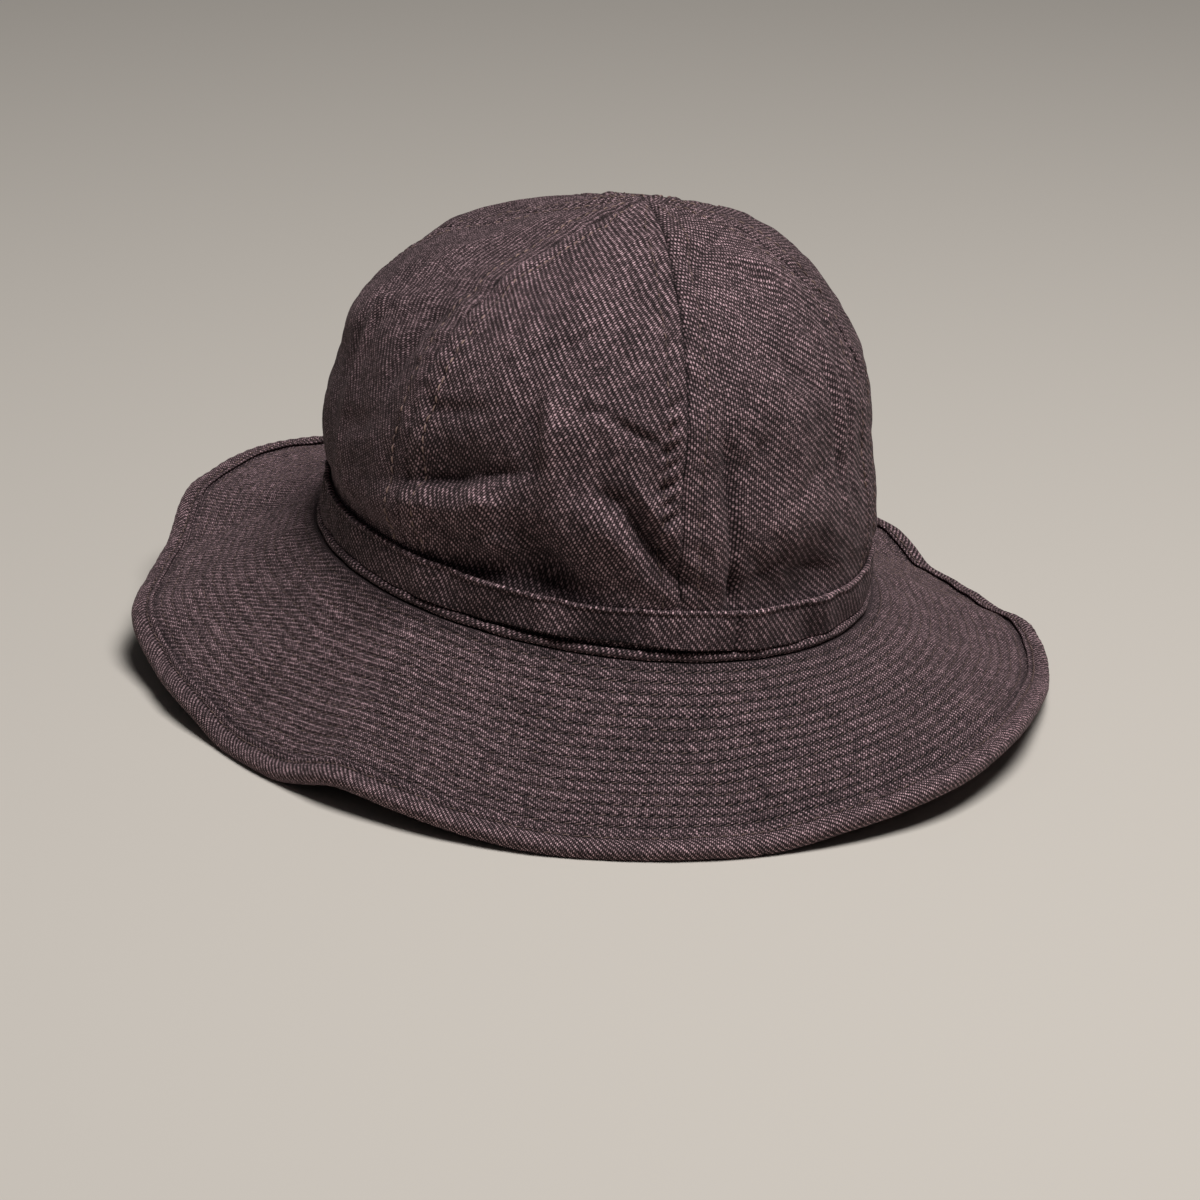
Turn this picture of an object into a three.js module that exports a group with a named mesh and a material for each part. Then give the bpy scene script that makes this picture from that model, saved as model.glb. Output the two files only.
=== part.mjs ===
// Fatigue hat: soft six-panel crown, narrow band, welt roll and a wavy stitched brim with a bound edge.
// Millimetres, +Z up, resting on its rim on the floor plane z = 0, centre crown seam towards -Y.
import * as THREE from 'three';

// Head size: the oval where the crown meets the brim
const JUNCTION_HALF_X = 88;
const JUNCTION_HALF_Y = 99;

// How the hat sits: the crown leans a little to one side because the brim is wavy
const BASE_HEIGHT = 40;
const LEAN_DEGREES = 5.6;
const LEAN_TOWARDS = 0;

// Cloth
const CROWN_WALL = 1.5;
const BAND_WALL = 1.5;
const BRIM_WALL = 1.8;
const BINDING_WALL = 0.9;
const GAP = 0.3;

// Crown
const PANELS = 6;
const FIRST_SEAM = 271;
const PANEL_PUFF = 1.4;
const PANEL_COLUMNS = 10;
const PANEL_ROWS = 16;
const LEAST_FOLD_WIDTH = 5;

// Band and welt at the foot of the crown
const WELT_RADIUS = 1.3;
const BAND_LOW = 3.4;
const BAND_TOP = 15.6;
const RING_SEGMENTS = 60;

// Brim
const COLLAR = 5.5;
const BRIM_SEGMENTS = 84;
const BRIM_BOW = 0.04;
const BINDING_WIDTH = 6.6;
const RIM_NOSE = 1.2;
const PRESS = 0.35;

// Crown sections from the brim up: length and width against the junction oval, sideways shift, and tip of the soft top
const CROWN_SECTIONS = [
  { height: 0.3, scale: 0.972, wide: 0.953, shift_x: 0, tip_x: 0, tip_y: 0 },
  { height: 17.5, scale: 0.972, wide: 0.956, shift_x: 0, tip_x: 0, tip_y: 0 },
  { height: 26, scale: 0.982, wide: 0.980, shift_x: -1.4, tip_x: 0, tip_y: 0 },
  { height: 34, scale: 0.978, wide: 0.978, shift_x: -2.4, tip_x: 0, tip_y: 0 },
  { height: 51, scale: 0.945, wide: 0.945, shift_x: -3.4, tip_x: 0, tip_y: 0 },
  { height: 68, scale: 0.905, wide: 0.905, shift_x: -3.0, tip_x: 0.01, tip_y: 0 },
  { height: 83, scale: 0.812, wide: 0.812, shift_x: -2.7, tip_x: 0.02, tip_y: 0 },
  { height: 95, scale: 0.672, wide: 0.672, shift_x: -2.2, tip_x: 0.05, tip_y: -0.01 },
  { height: 104, scale: 0.48, wide: 0.48, shift_x: -1, tip_x: 0.09, tip_y: -0.03 },
  { height: 110, scale: 0.275, wide: 0.275, shift_x: 0.8, tip_x: 0.11, tip_y: -0.07 },
  { height: 113, scale: 0.11, wide: 0.11, shift_x: 1.8, tip_x: 0.11, tip_y: -0.08 },
  { height: 114, scale: 0.008, wide: 0.008, shift_x: 2.2, tip_x: 0.11, tip_y: -0.08 },
];

// Crown folds: where (degrees round, mm up the cloth), run (degrees from level), half length,
// width on the upper and on the lower side, depth
const CROWN_FOLDS = [
  { round: 222, up: 43, run: 18, length: 25, above: 8, below: 3.2, depth: -5.4 },
  { round: 224, up: 34.5, run: 14, length: 19, above: 3.2, below: 5, depth: 1.7 },
  { round: 243, up: 25, run: -40, length: 14, above: 8, below: 8, depth: -7.0 },
  { round: 233, up: 18, run: 6, length: 22, above: 7, below: 6, depth: -4.6 },
  { round: 256, up: 38, run: -36, length: 10, above: 6, below: 6, depth: 3.4 },
  { round: 264.8, up: 36, run: -47, length: 14, above: 3.6, below: 5, depth: -5.4 },
  { round: 242.8, up: 61, run: 99, length: 15, above: 3, below: 8, depth: 4.4 },
  { round: 237.6, up: 65, run: 99, length: 11, above: 7, below: 2.5, depth: -1.8 },
  { round: 281.3, up: 49, run: 94, length: 28, above: 4, below: 4, depth: -2.4 },
  { round: 300, up: 22, run: 3, length: 22, above: 9, below: 8, depth: -4.4 },
  { round: 299, up: 42, run: 4, length: 20, above: 9, below: 9, depth: 1.8 },
  { round: 311, up: 117, run: -46, length: 19, above: 6, below: 5, depth: 2.2 },
  { round: 176, up: 74, run: 30, length: 18, above: 10, below: 10, depth: 1.8 },
  { round: 146, up: 84, run: 50, length: 22, above: 12, below: 12, depth: -1.5 },
  { round: 45, up: 142, run: 0, length: 18, above: 12, below: 12, depth: -2.2 },
  { round: 348, up: 97, run: 90, length: 14, above: 9, below: 9, depth: -1.6 },
  { round: 20, up: 44, run: 14, length: 24, above: 9, below: 9, depth: -1.8 },
  { round: 75, up: 40, run: -28, length: 24, above: 9, below: 9, depth: -2.0 },
  { round: 128, up: 46, run: 18, length: 24, above: 9, below: 9, depth: -2.0 },
];

// Brim edge going round: how far out it reaches from the junction, and its clearance above the floor
const BRIM_EDGE = [
  { round: 0, reach: 60, clear: 2.6 },
  { round: 9, reach: 57.7, clear: 0 },
  { round: 23, reach: 57.7, clear: 0 },
  { round: 33, reach: 61.5, clear: 7.6 },
  { round: 46, reach: 62.5, clear: 8.5 },
  { round: 60, reach: 60, clear: 0 },
  { round: 76, reach: 59, clear: 0 },
  { round: 90, reach: 60.5, clear: 7.5 },
  { round: 105, reach: 63.5, clear: 22 },
  { round: 120, reach: 65, clear: 28.5 },
  { round: 135, reach: 63, clear: 26.5 },
  { round: 150, reach: 55.6, clear: 16.5 },
  { round: 158, reach: 55.6, clear: 14.6 },
  { round: 167, reach: 57, clear: 12.4 },
  { round: 180, reach: 52.2, clear: 6.8 },
  { round: 193, reach: 48.6, clear: 3.6 },
  { round: 201, reach: 47.4, clear: 0 },
  { round: 210.5, reach: 47.2, clear: 0 },
  { round: 224, reach: 48.6, clear: 6.6 },
  { round: 240, reach: 51.2, clear: 2.8 },
  { round: 252, reach: 53.2, clear: 0 },
  { round: 272, reach: 55.8, clear: 0 },
  { round: 285, reach: 57.6, clear: 3.6 },
  { round: 300, reach: 60.2, clear: 8.3 },
  { round: 315, reach: 58.2, clear: 10.2 },
  { round: 330, reach: 56, clear: 7.6 },
  { round: 345, reach: 57.4, clear: 2.4 },
];

const CLOTH = { color: 0x4a3c3c, roughness: 0.92, metalness: 0 };
const EDGE_CLOTH = { color: 0x443737, roughness: 0.9, metalness: 0 };

const radians = THREE.MathUtils.degToRad;
const leanAxis = new THREE.Vector3(-Math.sin(radians(LEAN_TOWARDS)), Math.cos(radians(LEAN_TOWARDS)), 0);

// Puts a point of the upright crown into the resting hat
function place(x, y, z) {
  const point = new THREE.Vector3(x, y, z).applyAxisAngle(leanAxis, radians(LEAN_DEGREES));
  point.z += BASE_HEIGHT;
  return point;
}

// Outward level direction of the junction oval
function ovalOut(angle) {
  return new THREE.Vector3(Math.cos(angle) / JUNCTION_HALF_X, Math.sin(angle) / JUNCTION_HALF_Y, 0).normalize();
}

// Smooth curve through rows that never swings past them; period 0 means open ends
function curve(stations, values, period) {
  const count = stations.length;
  const last = period ? count : count - 1;
  const station = (i) => stations[((i % count) + count) % count] + (period || 0) * Math.floor(i / count);
  const value = (i) => values[((i % count) + count) % count];
  const rise = (i) => (value(i + 1) - value(i)) / (station(i + 1) - station(i));
  const slope = (i) => {
    if (!period && i === 0) return rise(0);
    if (!period && i === count - 1) return rise(count - 2);
    const before = rise(i - 1);
    const after = rise(i);
    return before * after <= 0 ? 0 : (2 * before * after) / (before + after);
  };
  return (where) => {
    const first = stations[0];
    const at = period ? first + ((((where - first) % period) + period) % period) : where;
    let i = 0;
    while (i < last - 1 && at > station(i + 1)) i += 1;
    const width = station(i + 1) - station(i);
    const t = (at - station(i)) / width;
    const a = 2 * t ** 3 - 3 * t ** 2 + 1;
    const b = t ** 3 - 2 * t ** 2 + t;
    const c = -2 * t ** 3 + 3 * t ** 2;
    const d = t ** 3 - t ** 2;
    return a * value(i) + b * width * slope(i) + c * value(i + 1) + d * width * slope(i + 1);
  };
}

// Distance up the cloth at each crown section, then curves of every column against it
const meanHalf = (JUNCTION_HALF_X + JUNCTION_HALF_Y) / 2;
const climb = [0];
for (let i = 1; i < CROWN_SECTIONS.length; i += 1) {
  const inward = meanHalf * (CROWN_SECTIONS[i].scale - CROWN_SECTIONS[i - 1].scale);
  const upward = CROWN_SECTIONS[i].height - CROWN_SECTIONS[i - 1].height;
  climb.push(climb[i - 1] + Math.hypot(inward, upward));
}
const CLIMB_END = climb[climb.length - 1];
const crownCurve = {};
for (const column of Object.keys(CROWN_SECTIONS[0])) {
  crownCurve[column] = curve(climb, CROWN_SECTIONS.map((row) => row[column]), 0);
}

// Smooth dome in the upright crown, before folds: angle round, distance up the cloth
function dome(angle, up) {
  const x = JUNCTION_HALF_X * crownCurve.wide(up) * Math.cos(angle);
  const y = JUNCTION_HALF_Y * crownCurve.scale(up) * Math.sin(angle);
  const z = crownCurve.height(up) + crownCurve.tip_x(up) * x + crownCurve.tip_y(up) * y;
  return new THREE.Vector3(x + crownCurve.shift_x(up), y, z);
}

// Outward direction of the smooth dome
function domeOut(angle, up) {
  const step = 0.4;
  const low = Math.max(up - step, 0);
  const high = Math.min(up + step, CLIMB_END);
  const across = dome(angle + 0.01, up).sub(dome(angle - 0.01, up));
  const upward = dome(angle, high).sub(dome(angle, low));
  return across.cross(upward).normalize();
}

// Shortest way round from one angle to another, in degrees
function turn(from, to) {
  return ((((to - from) % 360) + 540) % 360) - 180;
}

// How far folds and panel puff lift the cloth off the smooth dome
function foldLift(angle, up) {
  const degrees = THREE.MathUtils.radToDeg(angle);
  const girth = radians(1) * meanHalf * crownCurve.scale(up);
  let lift = 0;
  for (const fold of CROWN_FOLDS) {
    const sideways = turn(fold.round, degrees) * girth;
    const upward = up - fold.up;
    const run = radians(fold.run);
    const along = sideways * Math.cos(run) + upward * Math.sin(run);
    const across = upward * Math.cos(run) - sideways * Math.sin(run);
    const width = Math.max(across > 0 ? fold.above : fold.below, LEAST_FOLD_WIDTH);
    lift += fold.depth * Math.exp(-((along / fold.length) ** 2) - (across / width) ** 2);
  }
  const share = (((degrees - FIRST_SEAM) / (360 / PANELS)) % 1 + 1) % 1;
  lift += PANEL_PUFF * (Math.sin(Math.PI * share) - 0.5) * THREE.MathUtils.smoothstep(up, 50, 110);
  const overBand = THREE.MathUtils.smoothstep(up, 17, 27);
  const offTop = 1 - THREE.MathUtils.smoothstep(up, CLIMB_END - 14, CLIMB_END);
  return lift * overBand * offTop;
}

// Crown cloth at a depth below its outer face, in the resting hat
function crownCloth(angle, up, inside) {
  const out = domeOut(angle, up);
  const point = dome(angle, up).addScaledVector(out, foldLift(angle, up) - inside);
  return place(point.x, point.y, point.z);
}

// Point beside the foot of the crown: distance out from the crown cloth, height up the crown axis
function besideCrown(angle, out, height) {
  const foot = dome(angle, 8).addScaledVector(ovalOut(angle), out);
  return place(foot.x, foot.y, height);
}

const edgeRounds = BRIM_EDGE.map((row) => row.round);
const brimReach = curve(edgeRounds, BRIM_EDGE.map((row) => row.reach), 360);
const brimClear = curve(edgeRounds, BRIM_EDGE.map((row) => row.clear), 360);

// Cross-section of the folded binding: out from the brim's cut edge, above the brim's top face
const BINDING_SECTION = [
  { out: -BINDING_WIDTH, up: GAP },
  { out: -BINDING_WIDTH, up: GAP + BINDING_WALL * 0.8 },
  { out: -BINDING_WIDTH * 0.55, up: GAP + BINDING_WALL },
  { out: 0.1, up: GAP + BINDING_WALL },
  { out: 0.95, up: 0.4 },
  { out: RIM_NOSE, up: -BRIM_WALL / 2 },
  { out: 0.95, up: -BRIM_WALL - 0.4 },
  { out: 0.1, up: -BRIM_WALL - GAP - BINDING_WALL },
  { out: -BINDING_WIDTH, up: -BRIM_WALL - GAP - BINDING_WALL },
  { out: -BINDING_WIDTH, up: -BRIM_WALL - GAP },
  { out: GAP, up: -BRIM_WALL - GAP },
  { out: GAP, up: GAP },
];

// Where the brim's cut edge lies so that the binding just meets its clearance above the floor
function brimEnd(angle) {
  const degrees = THREE.MathUtils.radToDeg(angle);
  const start = place(JUNCTION_HALF_X * Math.cos(angle), JUNCTION_HALF_Y * Math.sin(angle), 0);
  const length = brimReach(degrees) - RIM_NOSE;
  const clear = brimClear(degrees) - PRESS;
  let height = clear + 3;
  for (let pass = 0; pass < 4; pass += 1) {
    const steep = Math.atan(((start.z - height) * (1 - Math.PI * BRIM_BOW)) / length);
    const hang = BINDING_SECTION.map((row) => row.up * Math.cos(steep) - row.out * Math.sin(steep));
    height = clear - Math.min(...hang);
  }
  return { start, length, height };
}

// Top face of the brim: -COLLAR to 0 is the level collar under the crown, 0 to 1 the way out to the cut edge
function brimTop(angle, way) {
  if (way < 0) {
    const inset = ovalOut(angle).multiplyScalar(way);
    const x = JUNCTION_HALF_X * Math.cos(angle) + inset.x;
    const y = JUNCTION_HALF_Y * Math.sin(angle) + inset.y;
    return place(x, y, 0);
  }
  const { start, length, height } = brimEnd(angle);
  const point = start.clone().addScaledVector(ovalOut(angle), length * way);
  const fall = way + BRIM_BOW * Math.sin(Math.PI * way);
  point.z = start.z + (height - start.z) * fall;
  return point;
}

// Upward direction of the brim's top face
function brimUp(angle, way) {
  const step = way < 0 ? 0.2 : 0.01;
  const low = Math.min(way, 1 - step);
  const along = brimTop(angle, low + step).sub(brimTop(angle, low));
  const round = brimTop(angle + 0.01, way).sub(brimTop(angle - 0.01, way));
  return along.cross(round).normalize();
}

// Brim cloth at a depth below its top face; ways beyond 1 run straight on past the cut edge
function brimCloth(angle, way, below) {
  const inside = Math.min(way, 1);
  const up = brimUp(angle, inside);
  const point = brimTop(angle, inside).addScaledVector(up, -below);
  if (way > 1) {
    const along = brimTop(angle, 1).sub(brimTop(angle, 0.99)).normalize();
    const { start, length, height } = brimEnd(angle);
    point.addScaledVector(along, (way - 1) * Math.hypot(length, start.z - height));
  }
  return point;
}

// Closed solid from rings of points; round rings join their ends, open rings get end caps
function solidFromRings(rings, closeRound) {
  const ringSize = rings[0].length;
  const positions = [];
  for (const ring of rings) {
    for (const point of ring) positions.push(point.x, point.y, point.z);
  }
  const faces = [];
  const count = closeRound ? rings.length : rings.length - 1;
  for (let i = 0; i < count; i += 1) {
    const next = (i + 1) % rings.length;
    for (let j = 0; j < ringSize; j += 1) {
      const side = (j + 1) % ringSize;
      const a = i * ringSize + j;
      const b = next * ringSize + j;
      const c = next * ringSize + side;
      const d = i * ringSize + side;
      faces.push(a, b, c, a, c, d);
    }
  }
  const geometry = new THREE.BufferGeometry();
  geometry.setAttribute('position', new THREE.Float32BufferAttribute(positions, 3));
  geometry.setIndex(faces);
  return geometry;
}

// Closed sheet of cloth from two matching grids of points, outer and inner
function solidFromSheets(outer, inner) {
  const rows = outer.length;
  const columns = outer[0].length;
  const positions = [];
  for (const sheet of [outer, inner]) {
    for (const row of sheet) {
      for (const point of row) positions.push(point.x, point.y, point.z);
    }
  }
  const faces = [];
  const top = (i, j) => i * columns + j;
  const under = (i, j) => rows * columns + i * columns + j;
  const quad = (a, b, c, d) => faces.push(a, b, c, a, c, d);
  for (let i = 0; i < rows - 1; i += 1) {
    for (let j = 0; j < columns - 1; j += 1) {
      quad(top(i, j), top(i, j + 1), top(i + 1, j + 1), top(i + 1, j));
      quad(under(i, j), under(i + 1, j), under(i + 1, j + 1), under(i, j + 1));
    }
    quad(top(i, 0), top(i + 1, 0), under(i + 1, 0), under(i, 0));
    const far = columns - 1;
    quad(top(i, far), under(i, far), under(i + 1, far), top(i + 1, far));
  }
  for (let j = 0; j < columns - 1; j += 1) {
    const last = rows - 1;
    quad(top(0, j), under(0, j), under(0, j + 1), top(0, j + 1));
    quad(top(last, j), top(last, j + 1), under(last, j + 1), under(last, j));
  }
  const geometry = new THREE.BufferGeometry();
  geometry.setAttribute('position', new THREE.Float32BufferAttribute(positions, 3));
  geometry.setIndex(faces);
  return geometry;
}

// One crown panel, a long wedge of cloth between two seams, tapering to the top
function crownPanel(index) {
  const wide = radians(360 / PANELS);
  const from = radians(FIRST_SEAM) + index * wide;
  const outer = [];
  const inner = [];
  for (let i = 0; i <= PANEL_ROWS; i += 1) {
    const up = i === 0 ? 0 : climb[1] + (CLIMB_END - climb[1]) * ((i - 1) / (PANEL_ROWS - 1));
    const outerRow = [];
    const innerRow = [];
    for (let j = 0; j <= PANEL_COLUMNS; j += 1) {
      const middle = from + wide * (j / PANEL_COLUMNS);
      const girth = dome(middle + 0.01, up).distanceTo(dome(middle - 0.01, up)) / 0.02;
      const trim = GAP / 2 / girth;
      const angle = from + trim + (wide - 2 * trim) * (j / PANEL_COLUMNS);
      outerRow.push(crownCloth(angle, up, 0));
      innerRow.push(crownCloth(angle, up, CROWN_WALL));
    }
    outer.push(outerRow);
    inner.push(innerRow);
  }
  return solidFromSheets(outer, inner);
}

// Band: a flat strip with a turned top edge, standing round the foot of the crown
function hatBand() {
  const section = [
    { out: GAP, height: BAND_LOW },
    { out: GAP + BAND_WALL, height: BAND_LOW },
    { out: GAP + BAND_WALL, height: BAND_TOP - 0.6 },
    { out: GAP + BAND_WALL * 0.6, height: BAND_TOP },
    { out: GAP, height: BAND_TOP - 0.3 },
  ];
  const rings = [];
  for (let i = 0; i < RING_SEGMENTS; i += 1) {
    const angle = radians(FIRST_SEAM) + (2 * Math.PI * i) / RING_SEGMENTS;
    rings.push(section.map((row) => besideCrown(angle, row.out, row.height)));
  }
  return solidFromRings(rings, true);
}

// Welt: a thin rolled cord of cloth lying on the brim at the foot of the band
function brimWelt() {
  const sides = 6;
  const rings = [];
  for (let i = 0; i < RING_SEGMENTS; i += 1) {
    const angle = radians(FIRST_SEAM) + (2 * Math.PI * i) / RING_SEGMENTS;
    const ring = [];
    for (let j = 0; j < sides; j += 1) {
      const around = (2 * Math.PI * j) / sides;
      const out = GAP + WELT_RADIUS * (1 + Math.cos(around));
      const height = GAP + WELT_RADIUS * (1 + Math.sin(around));
      ring.push(besideCrown(angle, out, height));
    }
    rings.push(ring);
  }
  return solidFromRings(rings, true);
}

// Brim: plies stitched as one sheet, level under the crown and then falling away in waves
function brim() {
  const ways = [-COLLAR, 0, 0.1, 0.24, 0.38, 0.52, 0.66, 0.8, 0.9, 1];
  const rings = [];
  for (let i = 0; i < BRIM_SEGMENTS; i += 1) {
    const angle = (2 * Math.PI * i) / BRIM_SEGMENTS;
    const under = ways.map((way) => brimCloth(angle, way, BRIM_WALL));
    const top = ways.map((way) => brimCloth(angle, way, 0)).reverse();
    rings.push([...under, ...top]);
  }
  return solidFromRings(rings, true);
}

// Binding: a strip folded over the cut edge of the brim, pressed flat where it meets the floor
function brimBinding() {
  const rings = [];
  for (let i = 0; i < BRIM_SEGMENTS; i += 1) {
    const angle = (2 * Math.PI * i) / BRIM_SEGMENTS;
    const { start, length, height } = brimEnd(angle);
    const slant = Math.hypot(length, start.z - height);
    const ring = BINDING_SECTION.map((row) => {
      const point = brimCloth(angle, 1 + row.out / slant, -row.up);
      point.z = Math.max(point.z, 0);
      return point;
    });
    rings.push(ring.reverse());
  }
  return solidFromRings(rings, true);
}

const hat = new THREE.Group();
hat.name = 'fatigue_hat';

// Adds one named piece with its cloth colour
function add(name, geometry, cloth) {
  geometry.computeVertexNormals();
  const piece = new THREE.Mesh(geometry, new THREE.MeshStandardMaterial(cloth));
  piece.name = name;
  hat.add(piece);
}

for (let index = 0; index < PANELS; index += 1) {
  add(`crown_panel_${index + 1}`, crownPanel(index), CLOTH);
}
add('hat_band', hatBand(), CLOTH);
add('brim_welt', brimWelt(), EDGE_CLOTH);
add('brim', brim(), CLOTH);
add('brim_binding', brimBinding(), EDGE_CLOTH);

// Middle of the footprint becomes the origin
const size = new THREE.Box3().setFromObject(hat);
const middle = size.getCenter(new THREE.Vector3());
for (const piece of hat.children) piece.geometry.translate(-middle.x, -middle.y, 0);

export default hat;
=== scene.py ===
# %% [markdown]
# # A soft fatigue hat in linen twill
# The hat has six wedge panels for its crown, a narrow band, a thin rolled welt, a brim
# quilted with rings of stitching, and a bias binding folded over the brim's edge.
# The frame holds the same pieces as plain solids. Here each one gets a finer surface in the
# same place, worked out with numpy, and a cloth finish made from shader nodes.

import bpy
import numpy as np
from mathutils import Matrix, Vector


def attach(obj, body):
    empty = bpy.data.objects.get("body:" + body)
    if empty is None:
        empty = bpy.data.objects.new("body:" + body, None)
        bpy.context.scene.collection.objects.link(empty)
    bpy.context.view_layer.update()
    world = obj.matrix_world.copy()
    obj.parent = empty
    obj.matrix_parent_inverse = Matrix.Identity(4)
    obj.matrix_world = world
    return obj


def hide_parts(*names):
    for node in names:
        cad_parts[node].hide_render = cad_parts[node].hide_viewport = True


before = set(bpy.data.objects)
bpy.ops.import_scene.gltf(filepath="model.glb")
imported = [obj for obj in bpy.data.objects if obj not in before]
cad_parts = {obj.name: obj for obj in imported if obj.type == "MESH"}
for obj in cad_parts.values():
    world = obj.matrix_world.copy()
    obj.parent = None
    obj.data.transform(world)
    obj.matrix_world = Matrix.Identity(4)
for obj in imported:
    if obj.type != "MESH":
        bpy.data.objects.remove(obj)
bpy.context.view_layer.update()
print("frame nodes:", sorted(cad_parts))

# %% [markdown]
# ## Sizes and how the hat rests
# All shapes are worked out in millimetres, in an upright crown whose foot is an oval, and then
# placed. The soft brim is wavy, so the crown leans a little to one side when the hat lies on
# a table. One function does that lean for every piece, so the pieces always agree.

# %% Head oval, lean and placing
HALF_X, HALF_Y = 88.0, 99.0
FOOT = np.array([-2.72, -2.58, 40.0])
LEAN = np.radians(5.6)
MM = 0.001
GAP = 0.3
MEAN_HALF = (HALF_X + HALF_Y) / 2
FOOT_ROUND, BRIM_ROUND, EDGE_ROUND = 93, 120, 152


def unit(vectors):
    """Vectors brought to length one."""
    return vectors / np.linalg.norm(vectors, axis=-1, keepdims=True)


def head_oval(angle):
    """Points of the head oval, at the height of the crown's foot."""
    return np.stack([HALF_X * np.cos(angle), HALF_Y * np.sin(angle), np.zeros_like(angle)], axis=-1)


def place(points):
    """Turns points of the upright crown by the lean about the Y axis, then moves them to the foot."""
    x, y, z = np.moveaxis(points, -1, 0)
    turned = [x * np.cos(LEAN) + z * np.sin(LEAN), y, z * np.cos(LEAN) - x * np.sin(LEAN)]
    return np.stack(turned, axis=-1) + FOOT


def oval_out(angle):
    """Level outward direction of the head oval.
    It is the gradient of x squared over a squared plus y squared over b squared."""
    out = np.stack([np.cos(angle) / HALF_X, np.sin(angle) / HALF_Y, np.zeros_like(angle)], axis=-1)
    return unit(out)


def ease(value, low, high):
    """Smooth step from 0 at low to 1 at high: 3t squared minus 2t cubed."""
    t = np.clip((value - low) / (high - low), 0, 1)
    return t * t * (3 - 2 * t)


def bump(value, middle, width):
    """Bell curve of height 1: exp of minus the squared distance over width squared."""
    return np.exp(-(((value - middle) / width) ** 2))


def row_curve(stations, values, period=0):
    """Smooth curve through table rows that never swings past them.
    Each piece is a cubic whose end slopes are the harmonic mean of the slopes on both sides."""
    x = np.asarray(stations, float)
    y = np.asarray(values, float)
    if period:
        x = np.append(x, x[0] + period)
        y = np.append(y, y[0])
    rise = np.diff(y) / np.diff(x)
    before = np.append(rise[-1] if period else rise[0], rise)
    after = np.append(rise, rise[0] if period else rise[-1])
    level = before * after <= 0
    slope = np.where(level, 0, 2 * before * after / np.where(level, 1, before + after))

    def at(where):
        where = np.asarray(where, float)
        if period:
            where = x[0] + np.mod(where - x[0], period)
        i = np.clip(np.searchsorted(x, where, side="right") - 1, 0, len(rise) - 1)
        wide = x[i + 1] - x[i]
        t = (where - x[i]) / wide
        first = (2 * t**3 - 3 * t**2 + 1) * y[i] + (t**3 - 2 * t**2 + t) * wide * slope[i]
        return first + (3 * t**2 - 2 * t**3) * y[i + 1] + (t**3 - t**2) * wide * slope[i + 1]

    return at


print("head girth about", round(2 * np.pi * MEAN_HALF), "mm")

# %% [markdown]
# ## Uneven cloth
# Washed linen is never quite smooth. A sum of slow sine waves with seeded directions and phases
# gives gentle unevenness anywhere on a surface. It is the same on every run, and needs no image.


# %% Seeded ripples
def ripples(x, y, wavelength, seed, count=7):
    """Sum of sine waves over the flat cloth with random directions and phases, scaled to about -1 to 1."""
    draw = np.random.default_rng(seed)
    heading = draw.uniform(0, np.pi, count)
    phase = draw.uniform(0, 2 * np.pi, count)
    length = wavelength * draw.uniform(0.7, 1.4, count)
    total = np.zeros(np.broadcast(x, y).shape)
    for way, start, wave in zip(heading, phase, length):
        total = total + np.sin(2 * np.pi * (x * np.cos(way) + y * np.sin(way)) / wave + start)
    return total / np.sqrt(count)


# %% [markdown]
# ## Cloth sheets as meshes
# A piece of cloth is a grid of points for its outer face and a matching grid for its inner face,
# closed along the cut edges. A band or binding is a closed section carried round a ring instead.
# Both helpers store two things beside the points: the flat cloth place of each point in
# millimetres, so that the weave follows the cut, and a tone value. On cloth that value is rubbed
# wear together with painted light and painted shade over crests, folds, edges and grooves; below
# zero it is painted shade in deep grooves. On stitches it is each stitch's own tone.


# %% Mesh helpers
def add_object(name, data):
    """Object of some data, placed in the scene."""
    made = bpy.data.objects.new(name, data)
    bpy.context.scene.collection.objects.link(made)
    return made


def make_piece(name, points, quads, cloth, tone_wear_and_shade, rows=None):
    """Mesh object from points in millimetres, quads, the cloth attributes and any quilting rows."""
    mesh = bpy.data.meshes.new(name)
    mesh.from_pydata((points * MM).tolist(), [], quads.tolist())
    mesh.polygons.foreach_set("use_smooth", np.ones(len(quads), bool))
    mesh.attributes.new("cloth", "FLOAT_VECTOR", "POINT").data.foreach_set("vector", cloth.ravel())
    mesh.attributes.new("tone_wear_and_shade", "FLOAT", "POINT").data.foreach_set("value", tone_wear_and_shade.ravel())
    if rows is not None:
        mesh.attributes.new("rows", "FLOAT_VECTOR", "POINT").data.foreach_set("vector", rows.ravel())
    mesh.update()
    return add_object(name, mesh)


def grid_quads(index, wrap_rows=False, wrap_columns=False):
    """Four-cornered faces of a grid of vertex numbers, joined round where asked."""
    if wrap_rows:
        index = np.vstack([index, index[:1]])
    if wrap_columns:
        index = np.hstack([index, index[:, :1]])
    corners = [index[:-1, :-1], index[:-1, 1:], index[1:, 1:], index[1:, :-1]]
    return np.stack(corners, axis=-1).reshape(-1, 4)


def sheet_piece(name, outer, inner, cloth, tone_wear_and_shade):
    """Closed sheet: outer grid, inner grid turned over, and a strip of faces along the whole cut edge."""
    rows, columns = outer.shape[:2]
    top = np.arange(rows * columns).reshape(rows, columns)
    under = top + rows * columns
    rim = np.concatenate([top[0, :-1], top[:-1, -1], top[-1, :0:-1], top[:0:-1, 0]])
    edge = np.vstack([rim + rows * columns, rim])
    quads = np.vstack([grid_quads(top), grid_quads(under)[:, ::-1], grid_quads(edge, wrap_columns=True)])
    points = np.concatenate([outer.reshape(-1, 3), inner.reshape(-1, 3)])
    flat = np.concatenate([cloth.reshape(-1, 3)] * 2)
    return make_piece(name, points, quads, flat, np.concatenate([tone_wear_and_shade.ravel(), 0 * tone_wear_and_shade.ravel()]))


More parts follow.
